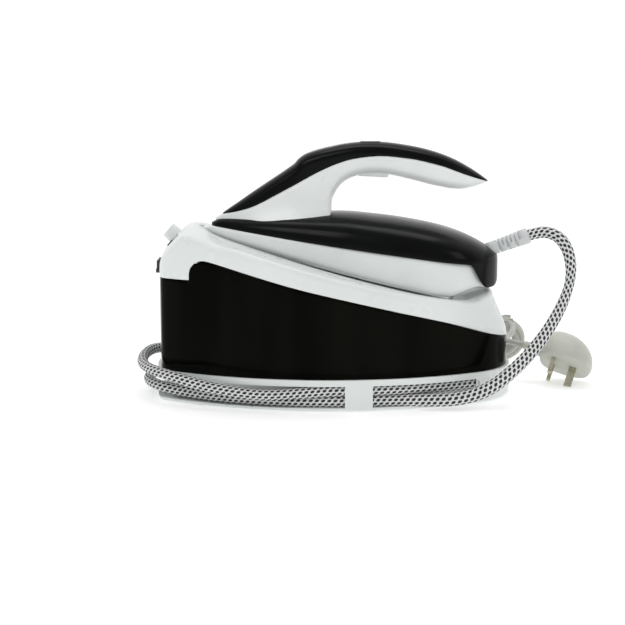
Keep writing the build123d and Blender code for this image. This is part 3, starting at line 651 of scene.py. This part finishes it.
shell_top = curve_of(
    (-129, 181.2), (-125, 183.3), (-121, 185.3), (-110, 186.8), (-95, 187.6), (-60, 190.2),
    (-25, 192.2), (6, 192.8), (48, 189.3),
    (91, 182.7), (122, 175), (144, 166.3), (158, 158.6), (168, 151.5), (172.6, 147),
)
shell_low = curve_of((142, 141.35), (158, 116.2), (160, 115.6), (166, 115.9), (170, 118.0), (172.6, 123.0))
SHELL_HALF = boat(-129, 173)


def shell_ring(x):
    """One section of the shell: a dome with soft shoulders over the skirt."""
    waist = min(160.8 - SHELL_SLOPE * x, shell_top(x) - 2)
    low = waist if x < 142 else min(shell_low(x), waist)
    high, half = shell_top(x), SHELL_HALF(x)
    tall = high - waist
    right = [(max(half - 0.9, 0.05), low), (max(half - 0.25, 0.06), low + 0.3)]
    for k in range(4):
        right.append((half, low + 0.6 + 0.1 * k + (waist - low) * k / 4))
    for k in range(19):
        turn = math.pi / 2 * k / 18
        across = half * math.cos(turn) ** 0.87
        right.append((across, waist + 1.0 + (tall - 1.0) * math.sin(turn) ** 0.87))
    ring = [(x, -y, z) for y, z in right]
    return ring + [(x, y, z) for y, z in reversed(right[:-1])]


shell_x = spaced(-128.97, -96, 16, dense_start=True) + spaced(-90, 130, 30)
shell_x += spaced(134, 172.55, 26, dense_end=True)
shell = loft("iron_shell_skin", [shell_ring(x) for x in shell_x])
finish_piece(shell, BLACK, "iron", "black_gloss", "iron_shell")


# ---------------------------------------------------------------- iron: handle
# Each row pairs a point on the handle's back with one on its underside, then gives the half
# width at the back and at the underside, and how far the rounding reaches down and up.
GRIP_ROWS = [
    (-124.6, 186.2, -124.2, 182.0, 2.5, 3.5, 1.5, 0.3),
    (-121.0, 188.6, -118.0, 180.0, 5.0, 6.5, 4.0, 0.3),
    (-112.0, 195.0, -105.0, 178.0, 8.5, 12.5, 6.0, 0.3),
    (-100.0, 203.2, -89.0, 177.0, 11.5, 20.5, 8.0, 0.3),
    (-88.0, 211.6, -73.0, 177.0, 13.5, 29.5, 9.0, 0.3),
    (-74.0, 221.0, -55.0, 177.0, 14.8, 33.0, 10.0, 0.3),
    (-60.0, 230.3, -37.0, 178.0, 15.8, 33.5, 10.0, 0.3),
    (-48.0, 238.4, -20.0, 180.0, 16.4, 31.0, 10.0, 0.5),
    (-41.5, 243.2, -8.0, 182.0, 16.8, 27.0, 10.0, 2.0),
    (-37.5, 247.8, -2.0, 186.5, 17.0, 23.0, 10.0, 5.0),
    (-32.0, 251.9, -2.6, 194.5, 17.2, 19.5, 10.5, 8.0),
    (-23.0, 255.7, -2.0, 204.0, 17.4, 17.6, 11.0, 10.0),
    (-12.5, 258.8, 1.5, 213.0, 17.5, 17.2, 11.0, 11.0),
    (-2.0, 261.2, 7.0, 220.8, 17.6, 17.2, 11.0, 12.0),
    (8.0, 263.3, 14.0, 226.4, 17.6, 17.2, 11.0, 12.0),
    (20.0, 265.1, 23.0, 230.0, 17.6, 17.2, 11.0, 12.0),
    (34.0, 266.0, 34.0, 232.2, 17.6, 17.2, 11.0, 12.0),
    (48.0, 265.8, 46.0, 232.6, 17.6, 17.2, 11.0, 12.0),
    (60.0, 264.8, 58.0, 231.3, 17.5, 17.1, 11.0, 12.0),
    (74.0, 262.8, 71.0, 228.7, 17.4, 17.0, 11.0, 12.0),
    (88.0, 260.2, 85.0, 225.3, 17.2, 16.8, 11.0, 12.0),
    (101.0, 257.0, 98.0, 221.9, 17.0, 16.6, 11.0, 12.0),
    (114.0, 252.8, 111.0, 218.9, 16.6, 16.2, 11.0, 12.0),
    (126.0, 247.8, 123.0, 216.8, 16.0, 15.6, 10.5, 12.0),
    (137.0, 242.0, 133.0, 216.2, 14.8, 14.4, 10.0, 11.0),
    (146.0, 236.6, 143.0, 217.9, 12.6, 12.2, 8.5, 9.0),
    (153.0, 231.9, 151.0, 220.3, 9.6, 9.2, 6.0, 6.0),
    (158.0, 228.2, 156.6, 222.4, 6.2, 6.0, 3.5, 3.0),
    (161.2, 225.7, 160.9, 223.9, 2.6, 2.5, 0.9, 0.9),
]
grip_seam = curve_of(
    (-130, 186.0), (-122, 188.2), (-116, 190.6), (-103, 193.2), (-88, 197.5), (-60, 211.4), (-35, 225),
    (-14, 236.3), (6, 244.8), (22, 249.2), (37, 251.2), (48, 251.9), (79, 249), (110, 242), (141, 231),
    (162, 224.3),
)
GRIP_STEPS = 4
grip_columns = [curve_of(*enumerate(column)) for column in zip(*GRIP_ROWS)]


def grip_section(place):
    """The handle's section at a place along its rows: a way down it and a half width at each depth."""
    values = [column(place) for column in grip_columns]
    bx, bz, ux, uz, half_back, half_under, round_back, round_under = values
    deep = math.hypot(ux - bx, uz - bz)
    squeeze = min(1.0, deep / (round_back + round_under))
    round_back, round_under = round_back * squeeze, round_under * squeeze

    def point(v):
        return bx + (ux - bx) * v / deep, bz + (uz - bz) * v / deep

    def half(v):
        wide = half_back + (half_under - half_back) * (v / deep) ** 2.3
        if v < round_back:
            wide *= math.sqrt(max(1 - ((round_back - v) / round_back) ** 2.2, 0.0))
        if v > deep - round_under:
            wide *= math.sqrt(max(1 - ((v - deep + round_under) / round_under) ** 2.2, 0.0))
        return max(wide, 0.02)

    steps = [deep * k / 200 for k in range(201)]
    above = [v for v in steps if point(v)[1] > grip_seam(point(v)[0])]
    return deep, point, half, (above[-1] if above else 0.0)


def grip_ring(point, half, depths):
    right = [(point(v), half(v)) for v in depths]
    ring = [(x, -y, z) for (x, z), y in right]
    return ring + [(x, y, z) for (x, z), y in reversed(right)]


def eased(n, towards_end):
    """Numbers from 0 to 1 that crowd at one end."""
    if towards_end:
        return [math.sin(math.pi / 2 * k / n) for k in range(n + 1)]
    return [1 - math.cos(math.pi / 2 * k / n) for k in range(n + 1)]


white_rings, black_rings = [], []
for step in range((len(GRIP_ROWS) - 1) * GRIP_STEPS + 1):
    deep, point, half, seam = grip_section(step / GRIP_STEPS)
    if seam > 0.7:
        black_rings.append(grip_ring(point, half, [seam * t for t in eased(14, False)]))
    start = min(seam + (0.35 if seam > 0.7 else 0.0), deep * 0.9)
    white_rings.append(grip_ring(point, half, [start + (deep - start) * t for t in eased(18, True)]))
grip_white = loft("grip_white_skin", white_rings)
finish_piece(grip_white, COOL_WHITE, "iron", "cool_white", "handle_lower")
grip_black = loft("grip_black_skin", black_rings)
finish_piece(grip_black, BLACK, "iron", "black_gloss", "handle_top")

# The smoked window let into the handle's back, over the indicator lights. Its grey, lighter than the black
# handle, is partly the lens's own tint and partly painted reflection of room light on the gloss.
window_rings = []
for step in range(41):
    place = 10.1 + 4.4 * step / 40
    deep, point, half, seam = grip_section(place)
    ease = math.sqrt(max(1 - (2 * step / 40 - 1) ** 8, 0.0))
    ring = []
    for k in range(11):
        across = (2 * k / 10 - 1) * 8.0 * max(ease, 0.05)
        depth = next(v for v in (deep * i / 400 for i in range(401)) if half(v) >= abs(across))
        x, z = point(depth)
        ring.append((x, across, z + 0.35 * ease))
    ring += [(x, y, z - 1.5) for x, y, z in reversed(ring)]
    window_rings.append(ring)
window = loft("indicator_window", window_rings)
finish_piece(window, WINDOW_SHEEN, "iron", "smoked")


# ---------------------------------------------------------------- station: tank wall and cover
NOSE_TIP, STERN_TIP = -183.5, 183.5
NOSE_R, CORNER_R, SIDE_R = 220.0, 16.0, 311.7
NOSE_C = np.array((NOSE_TIP + NOSE_R, 0.0))
SIDE_C = np.array((-4.6, 103.0 - SIDE_R))
spare = SIDE_R - (STERN_TIP - SIDE_C[0])
STERN_R = SIDE_R - (SIDE_C[1] ** 2 + spare ** 2) / (2 * spare)
STERN_C = np.array((STERN_TIP - STERN_R, 0.0))
apart = np.linalg.norm(NOSE_C - SIDE_C)
to_nose, to_side = NOSE_R - CORNER_R, SIDE_R - CORNER_R
lean_in = math.acos((apart ** 2 + to_side ** 2 - to_nose ** 2) / (2 * apart * to_side))


def heading(start, end):
    return math.atan2(end[1] - start[1], end[0] - start[0])


corner_turn = heading(SIDE_C, NOSE_C) + lean_in
CORNER_C = SIDE_C + to_side * np.array((math.cos(corner_turn), math.sin(corner_turn)))


def plan_samples():
    """Points round the +Y half of the station's plan, nose to stern: x, y and the outward normal."""
    def on_arc(centre, radius, turns):
        return [
            (centre[0] + radius * math.cos(t), centre[1] + radius * math.sin(t), math.cos(t), math.sin(t))
            for t in turns
        ]

    nose_turn, side_turn = heading(NOSE_C, CORNER_C), heading(SIDE_C, CORNER_C)
    stern_turn = heading(SIDE_C, STERN_C)
    samples = on_arc(NOSE_C, NOSE_R, np.linspace(math.pi, nose_turn, 10)[:-1])
    samples += on_arc(CORNER_C, CORNER_R, np.linspace(nose_turn, side_turn, 9)[:-1])
    first_x = SIDE_C[0] + SIDE_R * math.cos(side_turn)
    last_x = SIDE_C[0] + SIDE_R * math.cos(stern_turn)
    stations = list(np.linspace(first_x, -150, 5))
    stations += [-147.56, -147.46, -147.3, -147, -146.5, -145.6, -144.4, -142.8, -140.8, -138, -135, -131.5]
    stations += list(np.linspace(-127, last_x, 34)[:-1])
    samples += on_arc(SIDE_C, SIDE_R, [math.acos((x - SIDE_C[0]) / SIDE_R) for x in stations])
    samples += on_arc(STERN_C, STERN_R, np.linspace(stern_turn, 0, 16))
    return samples


PLAN = plan_samples()


parting_slope = curve_of(
    (-140, 149.7), (-134, 149.5), (-128, 148.8), (-118, 146.5), (-97, 140.8), (-40, 125.2),
    (16, 111.9), (66, 99.6), (116, 86.4), (149, 75.3),
    (173, 66.8), (184, 62.5),
)


# The nose keeps a level joint up to this step, which rises on an arc to the slope.
STEP_X, STEP_Z, STEP_R = -147.5, 128.7, 15.0


def parting(x):
    """Height of the joint between the tank wall and the cover."""
    if x < STEP_X:
        return STEP_Z
    if x < -130:
        arc = math.sqrt(max(STEP_R ** 2 - (x - STEP_X - STEP_R) ** 2, 0.0))
        return min(parting_slope(x), 134.3 + arc)
    return parting_slope(x)


def wrapped(name, rows):
    """A skin made of loops round the station. A row turns a plan sample into a point."""
    half = len(PLAN)
    loops = []
    for row in rows:
        upper = [row(index, sample) for index, sample in enumerate(PLAN)]
        loops.append(upper + [(x, -y, z) for x, y, z in reversed(upper[1:-1])])
    count = 2 * half - 2
    points = [p for ring in loops for p in ring]
    faces = []
    for k in range(len(loops) - 1):
        for i in range(count):
            j = (i + 1) % count
            faces.append((k * count + i, k * count + j, (k + 1) * count + j, (k + 1) * count + i))
    piece = new_mesh(name, points, faces)
    work = bmesh.new()
    work.from_mesh(piece.data)
    bmesh.ops.remove_doubles(work, verts=work.verts, dist=0.00002)
    bmesh.ops.dissolve_degenerate(work, edges=work.edges, dist=0.00001)
    bmesh.ops.recalc_face_normals(work, faces=work.faces)
    work.to_mesh(piece.data)
    work.free()
    return piece


def baked(piece):
    """Apply a piece's modifiers to its mesh."""
    bpy.context.view_layer.update()
    evaluated = piece.evaluated_get(bpy.context.evaluated_depsgraph_get())
    mesh = bpy.data.meshes.new_from_object(evaluated)
    piece.modifiers.clear()
    piece.data = mesh
    for polygon in mesh.polygons:
        polygon.use_smooth = True


def thicken(piece, thickness):
    solid = piece.modifiers.new("thickness", "SOLIDIFY")
    solid.thickness = thickness
    solid.offset = -1
    baked(piece)


def cut(piece, points, faces):
    """Cut a closed shape out of a piece."""
    cutter = new_mesh(piece.name + "_cutter", points, faces, smooth=False)
    boolean = piece.modifiers.new("cut", "BOOLEAN")
    boolean.operation = "DIFFERENCE"
    boolean.solver = "EXACT"
    boolean.object = cutter
    baked(piece)
    bpy.data.objects.remove(cutter)


def wall_row(inset, height):
    """A row on the wall, set in by `inset` from the plan, at the height that `height(x)` gives."""
    return lambda _, s: (s[0] - s[2] * inset, s[1] - s[3] * inset, height(s[0]))


tank_rows = [wall_row(0, lambda x: 32.0)]
for share in (0.2, 0.4, 0.6, 0.8):
    tank_rows.append(wall_row(0, lambda x, f=share: 32 + (parting(x) - 3.2 - 32) * f))
tank_rows += [
    wall_row(0, lambda x: parting(x) - 3.2),
    wall_row(0.12, lambda x: parting(x) - 2.0),
    wall_row(0.5, lambda x: parting(x) - 1.0),
    wall_row(1.1, lambda x: parting(x) - 0.35),
]
tank_skin = wrapped("tank_skin", tank_rows)
thicken(tank_skin, 0.0022)
finish_piece(tank_skin, SMOKED, "station", "smoked", "tank_shell")

cover_ridge = curve_of(
    (-184, 139.5), (-182.3, 142.5), (-180.5, 147.6), (-178.5, 152.0), (-176.5, 155.1), (-161.5, 172.1),
    (-158.5, 175.4), (-155, 177.6), (-151, 178.6), (-146, 178.8), (-139, 177.8), (-132, 174.8),
    (-124, 171.2), (-87, 159.4), (60, 120.2), (86, 114.6), (119, 108.3), (128, 106.4), (138, 104.0),
    (149, 102.2), (162, 102.0), (184, 102.0),
)


def smooth_step(x, start, end):
    share = min(max((x - start) / (end - start), 0.0), 1.0)
    return share * share * (3 - 2 * share)


def cover_top(x, y):
    """Height of the cover's top: domed at the nose, and raised in the middle at the stern."""
    dome = -9.5 * (y / 88) ** 2 * (1 - smooth_step(x, -145, -92))
    ridge = 9.0 * max(0.0, 1 - (y / 56) ** 2) * smooth_step(x, 128, 160)
    return cover_ridge(x) + dome + ridge


COVER_EDGE = 6.0
RECESS_TIP, RECESS_HEEL = -142.0, 158.0
RECESS_HALF = boat(RECESS_TIP, RECESS_HEEL)
REST_DEPTH = 6.47


def leaning(x, z):
    """How far the stern wall leans inwards at a height."""
    return 0.42 * max(z - 69, 0.0) * smooth_step(x, 108, 176)


def cover_wall(inset, share):
    def row(_, s):
        low = parting(s[0]) + 0.2
        high = cover_top(s[0], s[1]) - COVER_EDGE
        z = low + max(high - low, 0.6) * share
        d = inset + leaning(s[0], z)
        return s[0] - s[2] * d, s[1] - s[3] * d, z

    return row


def cover_edge(turn):
    def row(_, s):
        high = cover_top(s[0], s[1]) - COVER_EDGE
        d = leaning(s[0], high) + COVER_EDGE * (1 - math.cos(turn))
        x, y = s[0] - s[2] * d, s[1] - s[3] * d
        top = max(cover_top(x, y), parting(s[0]) + 0.8 + COVER_EDGE)
        return x, y, top - COVER_EDGE * (1 - math.sin(turn))

    return row


def recess_point(s, narrower=0.0):
    along = (s[0] - NOSE_TIP) / (STERN_TIP - NOSE_TIP)
    x = RECESS_TIP + (RECESS_HEEL - RECESS_TIP) * along
    spread = min(1.0, 8 * along, 8 * (1 - along))
    return x, max(RECESS_HALF(x) + (3.5 - narrower) * spread, 0.0)


def rest_floor(x, y):
    """The floor that the iron's pads stand on, easing out to the cover's top behind the heel."""
    floor = 138.1 - SOLE_SLOPE * x - REST_DEPTH
    return floor + (cover_top(x, y) - 1.0 - floor) * smooth_step(x, 122, 146)


def dip(x, share):
    return 1.2 * share ** 2 * smooth_step(x, -150, -125) * (1 - 0.8 * smooth_step(x, 120, 146))


def cover_shelf(share):
    rim = cover_edge(math.pi / 2)

    def row(i, s):
        x0, y0, _ = rim(i, s)
        x1, y1 = recess_point(s)
        x, y = x0 + (x1 - x0) * share, y0 + (y1 - y0) * share
        return x, y, cover_top(x, y) - dip(x, share)

    return row


def recess_wall(narrower, depth_share):
    def row(_, s):
        x, y = recess_point(s, narrower)
        high = cover_top(x, y) - dip(x, 1.0)
        return x, y, high + (rest_floor(x, y) - high) * depth_share

    return row


def recess_floor(share):
    def row(_, s):
        x, y = recess_point(s, 2.0)
        return x, y * share, rest_floor(x, y * share)

    return row


cover_rows = [cover_wall(0.5, 0.0), cover_wall(0.0, 0.02)]
cover_rows += [cover_wall(0.0, f) for f in (0.25, 0.5, 0.75, 1.0)]
cover_rows += [cover_edge(math.radians(15 * k)) for k in range(1, 7)]
cover_rows += [cover_shelf(f) for f in (0.1, 0.25, 0.4, 0.55, 0.7, 0.85, 1.0)]
cover_rows += [recess_wall(0.4, 0.12), recess_wall(1.0, 0.35)]
cover_rows += [recess_wall(1.4, 0.85), recess_wall(2.0, 1.0)]
cover_rows += [recess_floor(f) for f in (0.75, 0.5, 0.25, 0.0)]
cover = wrapped("top_cover_skin", cover_rows)
thicken(cover, 0.0024)
uncut = bpy.data.objects.new("uncut_cover", cover.data.copy())
bpy.context.scene.collection.objects.link(uncut)

PANEL_AT = Vector((-169, 0, 163))
PANEL_OUT = Vector((-0.7546, 0, 0.6562)).normalized()
PANEL_UP = Vector((0.6562, 0, 0.7546)).normalized()
panel_outline = []
for quarter, (cx, cy) in enumerate(((25, 7), (-25, 7), (-25, -7), (25, -7))):
    for k in range(7):
        turn = math.pi / 2 * (quarter + k / 6)
        panel_outline.append((cx + 4 * math.cos(turn), cy + 4 * math.sin(turn)))
sides = len(panel_outline)
panel_cutter = [
    tuple(PANEL_AT + across * Vector((0, 1, 0)) + up * PANEL_UP + out * PANEL_OUT)
    for out in (-2.0, 12.0)
    for across, up in panel_outline
]
prism = [tuple(range(sides)), tuple(range(2 * sides - 1, sides - 1, -1))]
prism += [(i, (i + 1) % sides, sides + (i + 1) % sides, sides + i) for i in range(sides)]
cut(cover, panel_cutter, prism)
filler_outline = ((-13, 133.5), (13, 133.5), (13, 140.5), (-13, 140.5))
filler = [(x, y, z) for x in (-190, -174) for y, z in filler_outline]
box_faces = [(0, 1, 2, 3), (7, 6, 5, 4), (0, 4, 5, 1), (1, 5, 6, 2), (2, 6, 7, 3), (3, 7, 4, 0)]
cut(cover, filler, box_faces)
even = cover.modifiers.new("even_shading", "DATA_TRANSFER")
even.object = uncut
even.use_loop_data = True
even.data_types_loops = {"CUSTOM_NORMAL"}
even.loop_mapping = "POLYINTERP_NEAREST"
baked(cover)
bpy.data.objects.remove(uncut)
finish_piece(cover, WHITE, "station", "white_gloss", "top_cover")


# ---------------------------------------------------------------- plug and strain relief
plug_y = PLUG_Z.cross(PLUG_X).normalized()
PLUG_ACROSS, PLUG_UP, PLUG_DEEP = 29.5, 29.0, 35.0
PLUG_RIM = 0.12
plug_rings = []
for share in [0.0, 0.02, 0.06, 0.12, 0.2, 0.3, 0.4, 0.5, 0.6, 0.7, 0.78, 0.85, 0.91, 0.95, 0.98, 0.995]:
    shrink = 0.94 + 0.5 * share
    if share > PLUG_RIM:
        shrink = (1 - (share - PLUG_RIM) ** 2.3 / 0.88 ** 2.3) ** 0.5
    centre = PLUG_AT + (4.5 - 9 * share ** 2) * PLUG_X + PLUG_DEEP * share * PLUG_Z
    ring = []
    for k in range(48):
        turn = 2 * math.pi * k / 48
        cos_t, sin_t = math.cos(turn), math.sin(turn)
        across = PLUG_ACROSS * shrink * math.copysign(abs(cos_t) ** 0.8, cos_t)
        up = PLUG_UP * shrink * math.copysign(abs(sin_t) ** 0.8, sin_t)
        ring.append(tuple(centre + across * PLUG_X + up * plug_y))
    plug_rings.append(ring)
plug_skin = loft("plug_shell", plug_rings)
finish_piece(plug_skin, PLUG, "station", "plug_white", "plug_body")
neck_rings = []
for k in range(13):
    reach = -22 - 2.0 * k
    wide = 7.5 - 0.25 * k if k < 8 else 5.5 - 0.2 * (k - 8)
    slit = 0.8 if k in (5, 7, 9, 11) else 0.0
    centre = PLUG_AT + reach * PLUG_X + 9 * PLUG_Z
    ring = []
    for j in range(24):
        turn = 2 * math.pi * j / 24
        ring.append(tuple(centre + (wide - slit) * (math.cos(turn) * plug_y + math.sin(turn) * PLUG_Z)))
    neck_rings.append(ring)
plug_neck = loft("plug_neck", neck_rings)
finish_piece(plug_neck, PLUG, "station", "plug_white")

BOOT_FROM = Vector((162.0, 0.0, 151.5))
BOOT_TO = Vector(boot_point(BOOT_LONG + 0.4))
boot_along = (BOOT_TO - BOOT_FROM).normalized()
boot_reach = (BOOT_TO - BOOT_FROM).length
boot_up = Vector((0, 1, 0)).cross(boot_along).normalized()
if boot_up.z < 0:
    boot_up = -boot_up
boot_rings = []
SLIT_DEPTH = 2.6
# Each slit's distance along the boot, and 0 for all the way round or 1 for the upper half.
SLITS = {13.0: 0, 17.5: 1, 22.0: 0, 26.5: 1, 31.0: 0, 35.5: 1}


def boot_radius(reach):
    return 7.3 + 1.3 * max(0.0, (reach - 10) / (boot_reach - 10)) ** 1.5


stations = [(0.0, None), (6.0, None), (10.0, None)]
for reach, kind in SLITS.items():
    stations += [(reach - 0.5, None), (reach - 0.4, kind), (reach + 0.4, kind), (reach + 0.5, None)]
stations += [(boot_reach - back, None) for back in (2.5, 1.0, 0.2, 0.0)]
for reach, kind in stations:
    radius = boot_radius(reach)
    if reach > boot_reach - 1.5:
        radius -= 0.5 if reach < boot_reach - 0.1 else 1.4
    ring = []
    for k in range(40):
        turn = 2 * math.pi * k / 40
        depth = 0.0
        if kind == 0 or (kind == 1 and math.sin(turn) > 0.1):
            depth = SLIT_DEPTH
        radial = math.cos(turn) * Vector((0, 1, 0)) + math.sin(turn) * boot_up
        ring.append(tuple(BOOT_FROM + reach * boot_along + (radius - depth) * radial))
    boot_rings.append(ring)
boot_skin = loft("boot_skin", boot_rings)
finish_piece(boot_skin, SILICONE, "iron", "silicone_grey", "hose_boot")


[tuple(p) for p in hose_line]
[tuple(p) for p in mains_line]


# ---------------------------------------------------------------- floor and light
floor_mesh = bpy.data.meshes.new("floor")
floor_mesh.from_pydata([(-40, -40, 0), (40, -40, 0), (40, 40, 0), (-40, 40, 0)], [], [(0, 1, 2, 3)])
floor = bpy.data.objects.new("floor", floor_mesh)
bpy.context.scene.collection.objects.link(floor)
floor_mat, floor_tree, floor_bsdf = shader("floor", (0.80, 0.80, 0.80), 0.7, spec=0.1)
tint(floor_tree, floor_bsdf, noise(floor_tree, 3.0), (0.79, 0.79, 0.79), (0.81, 0.81, 0.81))
floor_bsdf.inputs["Emission Color"].default_value = (1, 1, 1, 1)
floor_bsdf.inputs["Emission Strength"].default_value = 0.40
floor.data.materials.append(floor_mat)

world = bpy.data.worlds.new("world")
bpy.context.scene.world = world
world.use_nodes = True
sky = world.node_tree
direction = node(sky, "ShaderNodeTexCoord")
axes = node(sky, "ShaderNodeSeparateXYZ")
link(sky, direction.outputs["Generated"], axes.inputs["Vector"])
behind = node(sky, "ShaderNodeMapRange", interpolation_type="SMOOTHSTEP")
behind.inputs["From Min"].default_value = -0.35
behind.inputs["From Max"].default_value = 0.25
behind.inputs["To Min"].default_value = 0.45
behind.inputs["To Max"].default_value = 1.0
link(sky, axes.outputs["Y"], behind.inputs["Value"])
link(sky, behind.outputs["Result"], sky.nodes["Background"].inputs["Strength"])
sky.nodes["Background"].inputs["Color"].default_value = (1, 1, 1, 1)


def area_light(name, place, aim, size, power):
    """A soft rectangular light aimed at a point."""
    data = bpy.data.lights.new(name, "AREA")
    data.shape = "RECTANGLE"
    data.size, data.size_y = size
    data.energy = power
    lamp = bpy.data.objects.new(name, data)
    bpy.context.scene.collection.objects.link(lamp)
    lamp.location = place
    lamp.rotation_euler = (Vector(aim) - Vector(place)).to_track_quat("-Z", "Y").to_euler()


area_light("key", (-0.7, -1.2, 1.6), (0, 0, 0.1), (0.9, 0.9), 7)
area_light("fill", (1.3, -1.0, 0.9), (0, 0, 0.1), (0.6, 0.9), 2.5)
area_light("top", (0.1, 0.3, 1.8), (0, 0, 0.1), (1.2, 0.6), 5)
bpy.context.scene.view_settings.view_transform = "Standard"
